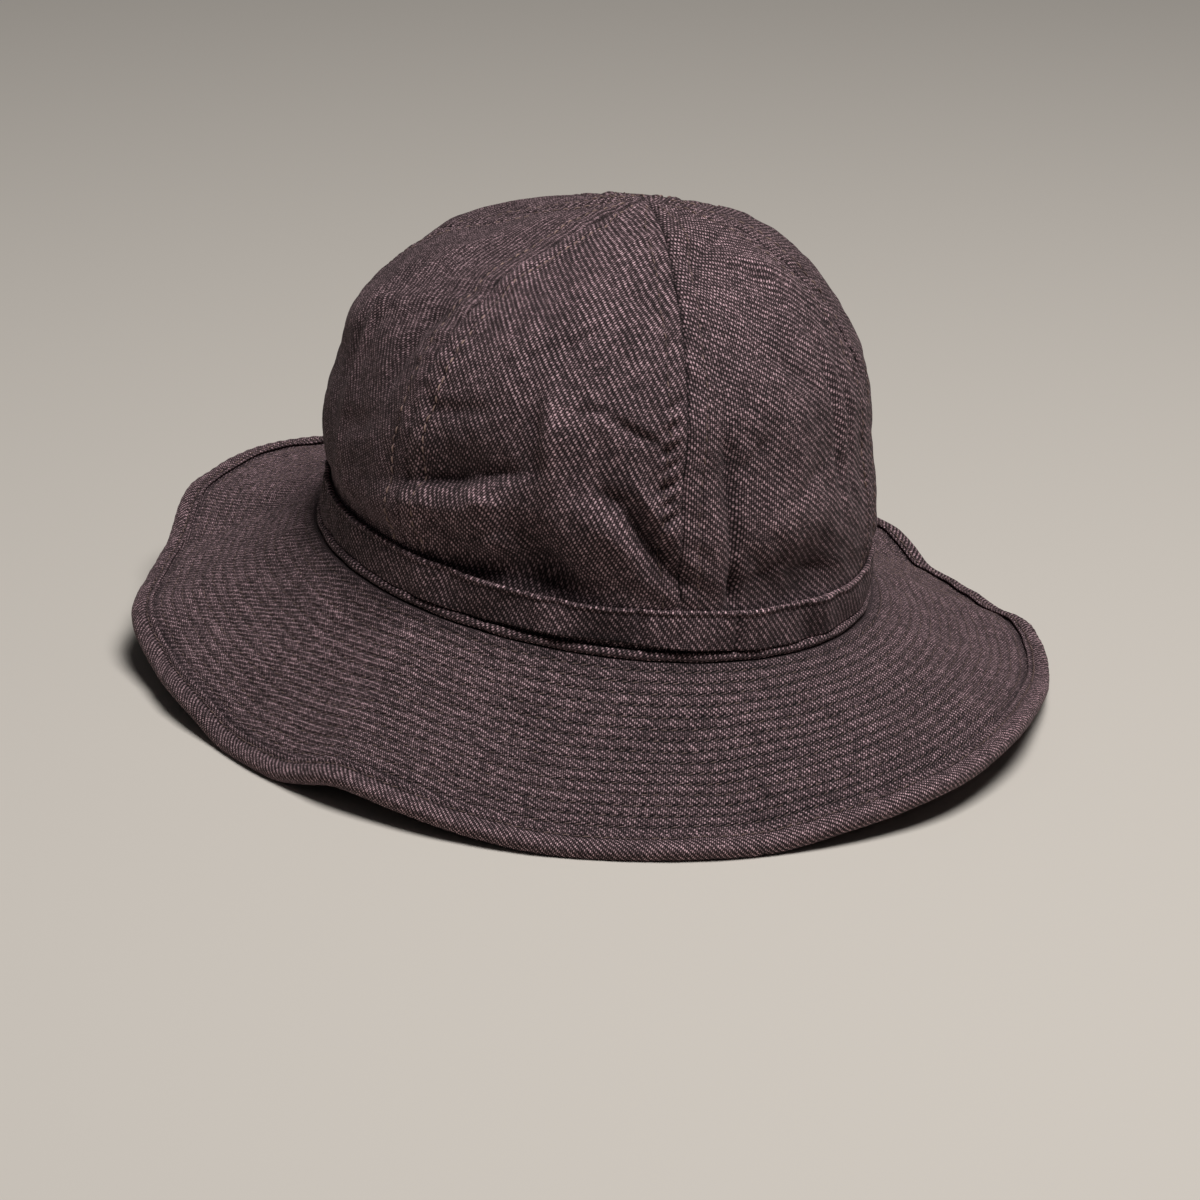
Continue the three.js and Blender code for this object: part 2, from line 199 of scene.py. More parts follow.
def ring_piece(name, rings, cloth, tone_wear_and_shade, rows=None):
    """Closed tube: sections running anticlockwise, out to the right and up, carried round the hat."""
    index = np.arange(rings.shape[0] * rings.shape[1]).reshape(rings.shape[:2])
    quads = grid_quads(index, wrap_rows=True, wrap_columns=True)[:, ::-1]
    return make_piece(name, rings.reshape(-1, 3), quads, cloth.reshape(-1, 3), tone_wear_and_shade, rows)


def flat_place(across, along, turn):
    """Flat cloth coordinates in millimetres, turned so that the warp leans from upright by the turn."""
    c, s = np.cos(np.radians(turn)), np.sin(np.radians(turn))
    return np.stack([across * c + along * s, along * c - across * s, np.zeros_like(across)], axis=-1)


def finish_piece(piece, node):
    """Rides the piece on the hat, lets it stand for its solid and prints its number of faces."""
    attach(piece, "root")
    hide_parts(node)
    print(piece.name, "has", len(piece.data.polygons), "faces")


# %% [markdown]
# ## The crown's smooth dome
# A crown like this is six wedges sewn together. Its shape is easiest to hold as a stack of ovals:
# each row of the table gives a height, the oval's length and width against the head oval, a
# sideways slump, and how far the soft top tips over. The foot is drawn in at the sides, where the
# crown hangs over the band. Curves through the rows give the dome at any height.

# %% Crown sections and the dome
SECTION_COLUMNS = ("height", "scale", "wide", "shift_x", "tip_x", "tip_y")
CROWN_SECTIONS = [
    (0.3, 0.972, 0.953, 0, 0, 0),
    (17.5, 0.972, 0.956, 0, 0, 0),
    (26, 0.982, 0.980, -1.4, 0, 0),
    (34, 0.978, 0.978, -2.4, 0, 0),
    (51, 0.945, 0.945, -3.4, 0, 0),
    (68, 0.905, 0.905, -3.0, 0.01, 0),
    (83, 0.812, 0.812, -2.7, 0.02, 0),
    (95, 0.672, 0.672, -2.2, 0.05, -0.01),
    (104, 0.48, 0.48, -1, 0.09, -0.03),
    (110, 0.275, 0.275, 0.8, 0.11, -0.07),
    (113, 0.11, 0.11, 1.8, 0.11, -0.08),
    (114, 0.001, 0.001, 2.2, 0.11, -0.08),
]
section = dict(zip(SECTION_COLUMNS, np.array(CROWN_SECTIONS).T))
climb = np.cumsum(np.hypot(np.diff(MEAN_HALF * section["scale"]), np.diff(section["height"])))
climb = np.append(0, climb)
CLIMB_END = climb[-1]
crown = {column: row_curve(climb, section[column]) for column in SECTION_COLUMNS}


def dome(angle, up):
    """Smooth dome of the upright crown: the head oval scaled by the section, tipped and shifted."""
    x = HALF_X * crown["wide"](up) * np.cos(angle)
    y = HALF_Y * crown["scale"](up) * np.sin(angle)
    z = crown["height"](up) + crown["tip_x"](up) * x + crown["tip_y"](up) * y
    return np.stack([x + crown["shift_x"](up), y, z], axis=-1)


def dome_out(angle, up):
    """Outward direction of the dome: the cross product of a small step round and a small step up."""
    round_step = dome(angle + 0.01, up) - dome(angle - 0.01, up)
    up_step = dome(angle, np.minimum(up + 0.4, CLIMB_END)) - dome(angle, np.maximum(up - 0.4, 0))
    out = np.cross(round_step, up_step)
    return unit(out)


print("cloth from foot to top:", round(CLIMB_END, 1), "mm")

# %% [markdown]
# ## Folds and creases
# The crown has been worn and put down many times. Each row is one fold: where it lies in degrees
# round and millimetres up the cloth, how it runs from level, its half length, its width on the
# upper and the lower side, and how far it stands out or dips in. Cloth that hangs over a fold is
# steep on one side and easy on the other, which is why there are two widths. The main folds are
# shared with the solids, and the creases are sharper and only shown here.

# %% Fold tables
FOLD_COLUMNS = ("round", "up", "run", "length", "above", "below", "depth")
MAIN_FOLDS = [
    (222, 43, 18, 25, 8, 3.2, -5.4),
    (224, 34.5, 14, 19, 3.2, 5, 1.7),
    (243, 25, -40, 14, 8, 8, -7.0),
    (233, 18, 6, 22, 7, 6, -4.6),
    (256, 38, -36, 10, 6, 6, 3.4),
    (264.8, 36, -47, 14, 3.6, 5, -5.4),
    (242.8, 61, 99, 15, 3, 8, 4.4),
    (237.6, 65, 99, 11, 7, 2.5, -1.8),
    (281.3, 49, 94, 28, 4, 4, -2.4),
    (300, 22, 3, 22, 9, 8, -4.4),
    (299, 42, 4, 20, 9, 9, 1.8),
    (311, 117, -46, 19, 6, 5, 2.2),
    (176, 74, 30, 18, 10, 10, 1.8),
    (146, 84, 50, 22, 12, 12, -1.5),
    (45, 142, 0, 18, 12, 12, -2.2),
    (348, 97, 90, 14, 9, 9, -1.6),
    (20, 44, 14, 24, 9, 9, -1.8),
    (75, 40, -28, 24, 9, 9, -2.0),
    (128, 46, 18, 24, 9, 9, -2.0),
]
CREASES = [
    (264.3, 37, -47, 11, 0.9, 2.0, -2.2),
    (256.5, 48.3, -16, 5, 1.8, 3.0, -2.2),
    (265, 45, -50, 9, 3.0, 1.4, 1.8),
    (270.5, 25.5, -40, 5, 1.6, 2.6, -1.8),
    (260, 68.5, -22, 9.5, 0.9, 2.4, -1.8),
    (250, 73, 12, 6, 0.9, 2.2, -1.0),
    (219, 40.5, 16, 12, 2.0, 1.4, -1.6),
    (232, 48.5, 14, 8, 2.0, 1.4, -1.6),
    (216, 32, 0, 6, 1.8, 2.4, 1.2),
    (231, 39.5, 10, 5, 1.8, 2.4, 1.6),
    (239.6, 64, 99, 10, 2.2, 1.2, -1.2),
    (220, 63.5, 15, 13, 2.0, 3.0, -1.2),
    (228, 27, 22, 11, 2.0, 1.6, -1.3),
    (219, 30, -28, 9, 1.8, 2.0, -1.2),
    (194, 23, 0, 26, 6.0, 5.0, 0.9),
    (267.7, 77, 36, 3.2, 0.9, 1.4, -1.4),
    (267.7, 71, 38, 3.2, 0.9, 1.4, -1.6),
    (267.7, 64.6, 36, 3.4, 0.9, 1.4, -1.9),
    (267.9, 59, 36, 3.4, 0.9, 1.4, -1.9),
    (267.9, 53.2, 34, 3.4, 0.9, 1.4, -2.0),
    (267.9, 48, 34, 3.4, 0.9, 1.4, -1.8),
    (268.1, 43.2, 32, 3.6, 1.0, 1.5, -2.0),
    (282.6, 20.5, 85, 5, 1.8, 1.8, -3.2),
    (282.5, 36, 90, 14, 1.4, 1.6, -1.6),
    (280.8, 60, 95, 14, 1.6, 2.0, -1.2),
    (292, 27, 24, 9, 2.0, 1.6, -1.5),
    (303, 25, -14, 10, 2.0, 1.6, -1.5),
    (288, 63, 40, 9, 1.6, 2.4, -0.9),
    (303, 52, 28, 12, 1.8, 2.6, -1.1),
    (298, 88, -30, 11, 1.8, 2.6, -0.9),
    (313.5, 70, 91, 22, 2.0, 3.0, -2.8),
    (319.5, 66, 88, 20, 2.0, 3.0, -2.4),
    (304, 114.5, -60, 6, 3.0, 3.6, -1.1),
    (292, 132, 30, 10, 2.0, 3.0, -1.4),
    (257, 112, -34, 10, 1.8, 2.8, -1.1),
    (242, 92, 36, 11, 2.0, 2.8, -1.1),
    (204, 101, 20, 7, 4.0, 4.0, -1.5),
    (214, 102, 30, 6, 4.0, 4.0, -1.4),
    (203.5, 88, 40, 7, 4.0, 4.0, -1.3),
    (201.5, 73, 84, 14, 3.4, 2.6, -2.2),
    (190, 44, 20, 12, 4.0, 4.0, -1.4),
    (188, 84, 40, 14, 3.6, 3.6, 1.2),
    (185.5, 74, 92, 34, 1.8, 2.6, 1.8),
    (180, 76, 92, 30, 3.0, 2.6, -1.6),
    (40, 30, 20, 14, 3.4, 3.4, -0.9),
    (98, 34, -40, 14, 3.4, 3.4, -0.9),
    (150, 52, 30, 16, 3.6, 3.6, -0.9),
    (112, 66, 20, 14, 3.6, 3.6, 0.7),
    (8, 60, -30, 14, 3.6, 3.6, 0.7),
]


def fold_lift(angle, up, folds):
    """Sum of folds: depth times a bell curve along the fold times one across it, wider on one side."""
    degrees = np.degrees(angle)
    girth = np.radians(1) * MEAN_HALF * crown["scale"](up)
    lift = np.zeros(np.broadcast(angle, up).shape)
    for row in folds:
        fold = dict(zip(FOLD_COLUMNS, row))
        sideways = (np.mod(degrees - fold["round"] + 180, 360) - 180) * girth
        upward = up - fold["up"]
        run = np.radians(fold["run"])
        along = sideways * np.cos(run) + upward * np.sin(run)
        across = upward * np.cos(run) - sideways * np.sin(run)
        width = np.where(across > 0, fold["above"], fold["below"])
        lift += fold["depth"] * bump(along, 0, fold["length"]) * bump(across, 0, width)
    return lift


print(len(MAIN_FOLDS), "main folds and", len(CREASES), "creases")

# %% [markdown]
# ## Crown seams
# Each seam is pressed open, so a strip of doubled cloth lies beside it on both sides, held by a
# row of topstitching about 6 mm away. The cloth dips at the seam and at the stitches, stands a
# little proud between them, and puckers where the thread has drawn it up.

# %% Seam profile and the whole crown lift
PANELS = 6
FIRST_SEAM = 271
PANEL_PUFF = 1.4
SEAM_STITCH = 6.0
STRIP_END = (6.4, 8.6)
PANEL_APART = 140


def seam_lift(from_seam, up, seam_number):
    """Height beside a seam: dips at the seam and the stitches, a raised strip, and slanting puckers."""
    deep = np.where(np.mod(seam_number, PANELS) == 0, 0.7, 0.35)
    dip = -deep * bump(from_seam, 0, 0.5) - 0.4 * bump(from_seam, SEAM_STITCH, 0.8)
    strip = 0.45 * (1 - ease(from_seam, *STRIP_END)) + 0.25 * bump(from_seam, 3.2, 1.8)
    wander = 1.6 * np.sin(up / 9.0 + seam_number) + 1.1 * np.sin(up / 5.3 + 2 * seam_number)
    wave = np.sin(2 * np.pi * (up + 0.5 * from_seam) / 9.5 + wander)
    strength = 0.55 + 0.45 * np.sin(up / 14.0 + 1.7 * seam_number)
    return dip + strip + 0.38 * strength * wave * bump(from_seam, 4.5, 4.6)


def crown_lift(angle, up, from_seam, across, seam_number):
    """Lift off the dome in two arrays: folds with creases, then the same with seams and unevenness."""
    share = np.mod((np.degrees(angle) - FIRST_SEAM) / (360 / PANELS), 1)
    puff = PANEL_PUFF * (np.sin(np.pi * share) - 0.5) * ease(up, 50, 110)
    shaped = fold_lift(angle, up, MAIN_FOLDS) + fold_lift(angle, up, CREASES) + puff
    at_band = np.where(shaped > 0, ease(up, 15.8, 22), ease(up, 9, 14))
    shaped = shaped * at_band * (1 - ease(up, CLIMB_END - 14, CLIMB_END))
    uneven = 0.42 * ripples(across, up, 26, 11) + 0.17 * ripples(across, up, 9, 12)
    fine = seam_lift(from_seam, up, seam_number) + uneven
    fine = fine * ease(up, 15.5, 20) * (1 - 0.8 * ease(up, CLIMB_END - 9, CLIMB_END - 1))
    return shaped, shaped + fine


# %% [markdown]
# ## Crown panels
# One panel is a wedge of cloth between two seams. Its grid is denser beside the seams, where the
# dips are narrow, and the two front panels are finest. Each panel was cut with its own turn of
# the grain, which is why the twill lines run at another slant on each side of the front seam.

# %% Make the six crown panels
CROWN_WALL = 1.5
SEAM_GAP = 0.01
PANEL_GRID = [(190, 130), (110, 76), (110, 76), (110, 76), (150, 100), (190, 130)]
PANEL_GRAIN = (0, 2, -36, 14, -22, -15)
PANEL_FINENESS = (1, 1, 1, 1, 1.2, 1)
FRONT_PANELS = (0, 5)


def seam_spacing(count, gather):
    """Shares from 0 to 1, closer together at both ends: t minus a part of a full sine wave."""
    t = np.linspace(0, 1, count)
    return t - gather * np.sin(2 * np.pi * t) / (2 * np.pi)


def crown_cloth(angle, up, lift):
    """Points of the placed crown at a lift above the smooth dome."""
    return place(dome(angle, up) + dome_out(angle, up) * lift[..., None])


def crown_panel(index):
    """Grids of one panel: outer and inner points, flat cloth place, wear with painted light and shade."""
    wide = np.radians(360 / PANELS)
    start = np.radians(FIRST_SEAM) + index * wide
    rows, columns = PANEL_GRID[index]
    up = np.linspace(0, CLIMB_END, rows)[:, None]
    share = seam_spacing(columns, 0.55)[None, :]
    trim = np.minimum(SEAM_GAP / 2 / (MEAN_HALF * crown["scale"](up) * wide), 0.2)
    angle = start + wide * (trim + (1 - 2 * trim) * share)
    up = np.broadcast_to(up, angle.shape)
    base = dome(angle, up)
    steps = np.linalg.norm(np.diff(base, axis=1), axis=-1)
    arc = np.hstack([np.zeros((rows, 1)), np.cumsum(steps, axis=1)])
    across = arc - arc[:, -1:] / 2
    from_seam = np.minimum(arc, arc[:, -1:] - arc)
    seam_number = index + (share > 0.5)
    shaped, full = crown_lift(angle, up, from_seam, across + PANEL_APART * index, seam_number)
    # Tone of the cloth: lighter on fold crests and raised seam strips, partly rubbed wear and partly painted
    # light; darker in fold valleys and dips, which is painted shade; the shade term darkens the seam and its
    # stitch line as painted shade.
    dark_line = np.where(np.mod(seam_number, PANELS) == 0, 0.65, 0.4)
    shade = dark_line * bump(from_seam, 0, 0.5) + 0.4 * bump(from_seam, SEAM_STITCH, 0.6)
    tone_wear_and_shade = np.clip(0.25 * (full - shaped) + 0.14 * shaped, -0.8, 1) - shade * ease(up, 15, 20)
    cloth = PANEL_FINENESS[index] * flat_place(across, up, PANEL_GRAIN[index]) + [200.0 * index, 0, 0]
    return crown_cloth(angle, up, full), crown_cloth(angle, up, shaped - CROWN_WALL), cloth, tone_wear_and_shade


panels = []
for index in range(PANELS):
    panel = sheet_piece(f"crown_cloth_{index + 1}", *crown_panel(index))
    finish_piece(panel, f"crown_panel_{index + 1}")
    panels.append(panel)

# %% [markdown]
# ## Hat band
# The band is a strip of the same cloth with its top edge folded under, sewn flat round the foot
# of the crown. It is slack in places, so it stands off in shallow waves and has a few upright
# creases, and its ends meet in a short upright seam right of the front.

# %% Make the band
BAND_WALL = 1.5
BAND_LOW, BAND_TOP = 3.4, 15.6
RING_COLUMNS = 720
BAND_SEAM = 283.5
BAND_CREASE_COLUMNS = ("round", "width", "height")
BAND_CREASES = [
    (206, 1.6, 0.6),
    (216, 2.2, 0.9),
    (222, 1.2, -0.7),
    (243, 1.3, 0.9),
    (247, 1.2, -0.7),
    (263, 0.8, -1.3),
    (265, 1.6, 0.6),
    (290, 3.0, 0.7),
    (301, 1.6, -0.6),
    (140, 2.0, 0.5),
]
BAND_TILT_COLUMNS = ("round", "width", "tilt")
BAND_TILTS = [
    (188, 13.0, -1.8),
    (222, 3.0, 2.2),
    (232, 5.0, -1.8),
    (246.5, 2.4, 2.6),
    (255, 4.0, -1.2),
    (274, 6.0, 1.5),
    (293, 6.0, 1.0),
    (304, 3.0, -1.4),
]
BAND_SEAT = 8.0
RING_START = np.pi / 2
ring_angle = RING_START + np.linspace(0, 2 * np.pi, RING_COLUMNS, endpoint=False)[:, None]


def beside_crown(angle, out, height):
    """Point beside the crown's foot: straight out from the oval, at a height up the crown's axis."""
    foot = dome(angle, np.full_like(angle, BAND_SEAT)) + oval_out(angle) * np.asarray(out)[..., None]
    foot[..., 2] = height
    return place(foot)


def band_tilt(angle):
    """How far the band's foot stands out against its top, as a sum of bell curves round the hat."""
    tilt = np.zeros_like(angle)
    for row in BAND_TILTS:
        part = dict(zip(BAND_TILT_COLUMNS, row))
        tilt = tilt + part["tilt"] * bump(np.degrees(angle), part["round"], part["width"])
    return tilt


def band_wave(angle, rise):
    """How far the slack band stands off: slow ripples, creases fading downwards, and its seam's dip."""
    degrees = np.degrees(angle)
    girth = np.radians(1) * MEAN_HALF
    wave = 0.36 * ripples(degrees * girth, 8 * rise, 34, 21)
    wave = wave + 0.26 * ripples(degrees * girth, 8 * rise, 12, 22)
    for row in BAND_CREASES:
        crease = dict(zip(BAND_CREASE_COLUMNS, row))
        slant = degrees - crease["round"] + 1.2 * (rise - 0.5)
        wave = wave + crease["height"] * bump(slant, 0, crease["width"]) * (0.4 + 0.6 * rise)
    off_seam = (degrees - BAND_SEAM) * girth
    return wave - 1.2 * bump(off_seam, 0, 0.7) + 0.35 * bump(np.abs(off_seam), 2.6, 2.0)


def band_section():
    """Closed section: rise and face share from the foot, up the face, over the folded top and back down."""
    rise = np.concatenate([[0], np.linspace(0.04, 0.93, 22), [0.985, 1.0, 0.97], np.linspace(0.9, 0.03, 4)])
    face = np.concatenate([[0.55], np.ones(22), [0.85, 0.45, 0.05], np.zeros(4)])
    return rise[None, :], face[None, :]


rise, face = band_section()
in_front = bump(np.degrees(ring_angle), 255, 26)
tilt = band_tilt(ring_angle)
swell = 0.25 * np.sin(np.pi * rise) + (0.3 + 0.9 * in_front) * (1 - rise) ** 2 + tilt * (0.55 - rise)
swell = swell - 0.35 * bump(rise, 0.84, 0.05) + 0.3 * bump(rise, 0.95, 0.06)
stand = GAP + face * (BAND_WALL + swell + band_wave(ring_angle, rise))
stand = stand + 0.12 * ripples(ring_angle * FOOT_ROUND, rise, 60, 23)
edge_wander = 0.35 * ripples(ring_angle * FOOT_ROUND, 0 * rise, 45, 24) * rise
foot_height = BAND_LOW - 0.65 + 2.1 * in_front
height = foot_height + (BAND_TOP - foot_height) * rise + edge_wander
band_angle = np.broadcast_to(ring_angle, stand.shape)
band_cloth = flat_place(band_angle * MEAN_HALF, height, -8)
# Band tone: lighter along the folded top edge, rubbed wear and a painted highlight; painted shade in the
# stitch groove below the fold and along the foot at the front, for the dark groove above the welt; lighter
# where the slack band and its foot stand out, darker in its dips: painted light and shade.
band_wear_light_shade = 1.15 * bump(rise, 0.98, 0.05) - 0.5 * bump(rise, 0.84, 0.04) - in_front * (1 - rise) ** 3
band_wear_light_shade = band_wear_light_shade + 0.4 * band_wave(ring_angle, rise) + 0.3 * tilt
band = ring_piece("hat_band_cloth", beside_crown(band_angle, stand, height), band_cloth, band_wear_light_shade)
finish_piece(band, "hat_band")

# %% [markdown]
# ## Welt
# A thin roll of cloth lies in the corner between band and brim and covers the seam there. It is
# a small circle carried round the head oval, a little uneven as a hand-fed roll is.

# %% Make the welt
WELT_RADIUS = 1.3
around = np.linspace(0, 2 * np.pi, 14, endpoint=False)[None, :]
twist = np.sin(2 * np.pi * (ring_angle * FOOT_ROUND + 1.2 * around) / 2.6)
plump = WELT_RADIUS * (1.06 + 0.08 * ripples(ring_angle * FOOT_ROUND, 0 * around, 16, 31) + 0.05 * twist)
welt_out = GAP + WELT_RADIUS + plump * np.cos(around)
welt_height = GAP + WELT_RADIUS + plump * np.sin(around)
welt_angle = np.broadcast_to(ring_angle, welt_out.shape)
welt_cloth = flat_place(welt_angle * MEAN_HALF, WELT_RADIUS * np.broadcast_to(around, welt_out.shape), -30)
# Welt tone: lighter on its upper outer side, rubbed wear and a painted highlight on the side facing the
# light; at the front its upper back, under the band, gets painted shade.
welt_wear_light_shade = (0.1 + 0.2 * in_front) * bump(around, np.pi / 4, 0.8)
welt_wear_light_shade = welt_wear_light_shade - 1.8 * bump(around, 0.66 * np.pi, 0.55) * in_front
welt = ring_piece("brim_welt_cloth", beside_crown(welt_angle, welt_out, welt_height), welt_cloth, welt_wear_light_shade)
finish_piece(welt, "brim_welt")

# %% [markdown]
# ## Brim
# The brim is two plies quilted together with rings of stitching. From the crown it falls almost
# straight to an edge that waves up and down, and lies on the table in four low places. The table
# gives that edge: how far out it reaches and its clearance above the floor, going round.

# %% Brim edge and the sheet between crown and edge
BRIM_WALL = 1.8
BRIM_BOW = 0.04
BINDING_WALL, BINDING_WIDTH, RIM_NOSE = 0.9, 6.6, 1.2
PRESS = 0.35
EDGE_COLUMNS = ("round", "reach", "clear")
BRIM_EDGE = [
    (0, 60, 2.6),
    (9, 57.7, 0),
    (23, 57.7, 0),
    (33, 61.5, 7.6),
    (46, 62.5, 8.5),
    (60, 60, 0),
    (76, 59, 0),
    (90, 60.5, 7.5),
    (105, 63.5, 22),
    (120, 65, 28.5),
    (135, 63, 26.5),
    (150, 55.6, 16.5),
    (158, 55.6, 14.6),
    (167, 57, 12.4),
    (180, 52.2, 6.8),
    (193, 48.6, 3.6),
    (201, 47.4, 0),
    (210.5, 47.2, 0),
    (224, 48.6, 6.6),
    (240, 51.2, 2.8),
    (252, 53.2, 0),
    (272, 55.8, 0),
    (285, 57.6, 3.6),
    (300, 60.2, 8.3),
    (315, 58.2, 10.2),
    (330, 56, 7.6),
    (345, 57.4, 2.4),
]
edge = dict(zip(EDGE_COLUMNS, np.array(BRIM_EDGE).T))
brim_reach = row_curve(edge["round"], edge["reach"], 360)
brim_clear = row_curve(edge["round"], edge["clear"], 360)
UNDER_RIM = np.array([(RIM_NOSE, -0.9), (0.95, -2.2), (0.1, -3.0), (-BINDING_WIDTH, -3.0)])


def brim_end(angle):
    """Start on the head oval, level length, and height of the cut edge.
    The binding just meets its clearance. The steepness and the height depend on each other,
    so four passes settle them."""
    start = place(head_oval(angle))
    length = brim_reach(np.degrees(angle)) - RIM_NOSE
    clear = brim_clear(np.degrees(angle)) - PRESS
    height = clear + 3
    for _ in range(4):
        steep = np.arctan((start[..., 2] - height) * (1 - np.pi * BRIM_BOW) / length)[..., None]
        hang = UNDER_RIM[:, 1] * np.cos(steep) - UNDER_RIM[:, 0] * np.sin(steep)
        height = clear - hang.min(axis=-1)
    return start, length, height


def brim_sheet(angle, way):
    """Smooth top face: from the oval out and down to the cut edge with a slight bow; below 0 a collar."""
    start, length, height = brim_end(angle)
    out = oval_out(angle)
    fall = way + BRIM_BOW * np.sin(np.pi * way)
    sloped = start + out * (length * way)[..., None]
    sloped[..., 2] = start[..., 2] + (height - start[..., 2]) * fall
    collar = place(head_oval(angle) + out * np.minimum(way, 0)[..., None])
    return np.where(way[..., None] < 0, collar, sloped)


def brim_up(angle, way):
    """Upward direction of the brim: the cross product of a step outwards and a step round."""
    step = np.where(way < 0, 0.2, 0.01)
    low = np.minimum(way, 1 - step)
    outward = brim_sheet(angle, low + step) - brim_sheet(angle, low)
    sideways = brim_sheet(angle + 0.01, way) - brim_sheet(angle - 0.01, way)
    up = np.cross(outward, sideways)
    return unit(up)


def brim_slant(angle):
    """Length of the brim down its slope."""
    start, length, height = brim_end(angle)
    return np.hypot(length, start[..., 2] - height)


slants = brim_slant(ring_angle)
print("brim down its slope:", np.round([slants.min(), slants.max()], 1), "mm")

# %% [markdown]
# ## Brim quilting and grain
# The rings of stitching sit about 4 mm apart and pull the plies together, so the cloth swells
# slightly between them. A flat ring can't be cut for a sloping brim: the cloth is cut as part of
# a wider ring, so the twill turns slowly as it goes round. The flat place follows that cut.

# %% Make the brim
QUILT_ROWS = 15
FIRST_ROW, ROW_STEP = 0.045, 0.0575
QUILT_STITCH = 3.1
BRIM_DOWN = 67
SAMPLES_PER_ROW = 4
CUT_SHARE = 0.88
CUT_FACING = np.radians(265)
BRIM_GRAIN = -94
COLLAR_WAYS = np.array([-5.5, -2.5, -0.5])
BRIM_UNDER_WAYS = np.concatenate([COLLAR_WAYS[:1], np.linspace(0, 1, 15)])
quilt_ways = FIRST_ROW + ROW_STEP * np.arange(QUILT_ROWS)


def quilt_lift(angle, way):
    """Swell between stitch rings, a root of a sine, with slow unevenness of the plies."""
    phase = (way - FIRST_ROW) / ROW_STEP
    swell = 0.16 * np.sqrt(np.abs(np.sin(np.pi * phase))) - 0.08
    quilted = swell * ease(way, 0.0, FIRST_ROW) * (1 - ease(way, 0.9, 0.97))
    across, down = angle * BRIM_ROUND, way * BRIM_DOWN
    uneven = 0.30 * ripples(across, down, 30, 41) + 0.10 * ripples(across, down, 9, 42)
    return quilted + uneven * ease(way, 0.02, 0.15)


def edge_groove(angle, way):
    """Bell curve of the groove where the brim dives under the binding, faint in front."""
    faint = 1 - 0.7 * bump(np.degrees(angle), 268, 32)
    return bump((1 - way) * brim_slant(angle), BINDING_WIDTH + 0.6, 0.9) * faint


def quilt_count(points):
    """Stitches counted along each ring of points: length along the ring over its even stitch step."""
    steps = np.linalg.norm(points - np.roll(points, 1, axis=0), axis=-1)
    length = steps.sum(axis=0)
    steps[0] = 0
    return np.cumsum(steps, axis=0) / length * np.floor(length / QUILT_STITCH)


def brim_cloth(angle, way, lift):
    """Points of the brim at a lift above its smooth top face."""
    return brim_sheet(angle, way) + brim_up(angle, way) * lift[..., None]


def brim_flat(angle, way):
    """Flat place on the cut: a wider ring whose radius and angle unroll the sloping brim."""
    radius = MEAN_HALF / CUT_SHARE + way * brim_slant(angle)
    turned = (angle - CUT_FACING) * CUT_SHARE
    return flat_place(radius * np.cos(turned), radius * np.sin(turned), BRIM_GRAIN)


row_samples = FIRST_ROW + ROW_STEP * np.arange(QUILT_ROWS * SAMPLES_PER_ROW) / SAMPLES_PER_ROW
top_ways = np.concatenate([COLLAR_WAYS, [0, 0.02], row_samples, np.linspace(row_samples[-1] + 0.02, 1, 6)])
brim_ways = np.concatenate([BRIM_UNDER_WAYS, top_ways[::-1]])[None, :]
on_top = np.concatenate([np.zeros(len(BRIM_UNDER_WAYS)), np.ones(len(top_ways))])[None, :]
brim_angle, brim_way = np.broadcast_arrays(ring_angle, brim_ways)
groove = edge_groove(brim_angle, brim_way) * on_top
brim_lift = quilt_lift(brim_angle, brim_way) - (1 - on_top) * BRIM_WALL - 0.7 * groove
brim_points = brim_cloth(brim_angle, brim_way, brim_lift)
# Brim tone: puffs between the quilting rings are rubbed lighter; painted shade darkens the groove where the
# brim dives under the binding and the strip next to the welt.
at_welt = bump(np.maximum(brim_way, 0) * brim_slant(brim_angle), 0, 3.4)
brim_wear_and_shade = np.clip(0.5 * quilt_lift(brim_angle, brim_way), 0, 1) * on_top - 1.2 * groove - 0.8 * at_welt
row_place = np.clip((brim_way - FIRST_ROW) / ROW_STEP, -0.5, QUILT_ROWS - 0.5)
drawn_tight = 0.35 + 0.65 * bump(np.degrees(brim_angle), 282, 42)
brim_rows_at = np.stack([row_place, quilt_count(brim_points), drawn_tight], axis=-1)
brim = ring_piece("brim_cloth", brim_points, brim_flat(brim_angle, brim_way), brim_wear_and_shade, brim_rows_at)
finish_piece(brim, "brim")

# %% [markdown]
# ## Binding
# A bias strip is folded over the brim's cut edge and sewn through near its inner edge. Bias cloth
# ripples a little across the strip. Where the hat rests, the fold is pressed flat on the table.

# %% Make the binding
BINDING_COLUMNS = 900
BINDING_STITCH = -5.0
BINDING_JOIN = 276.0
BINDING_FINENESS = 1.3
NOSE_POINTS = 9
bind_angle = RING_START + np.linspace(0, 2 * np.pi, BINDING_COLUMNS, endpoint=False)[:, None]


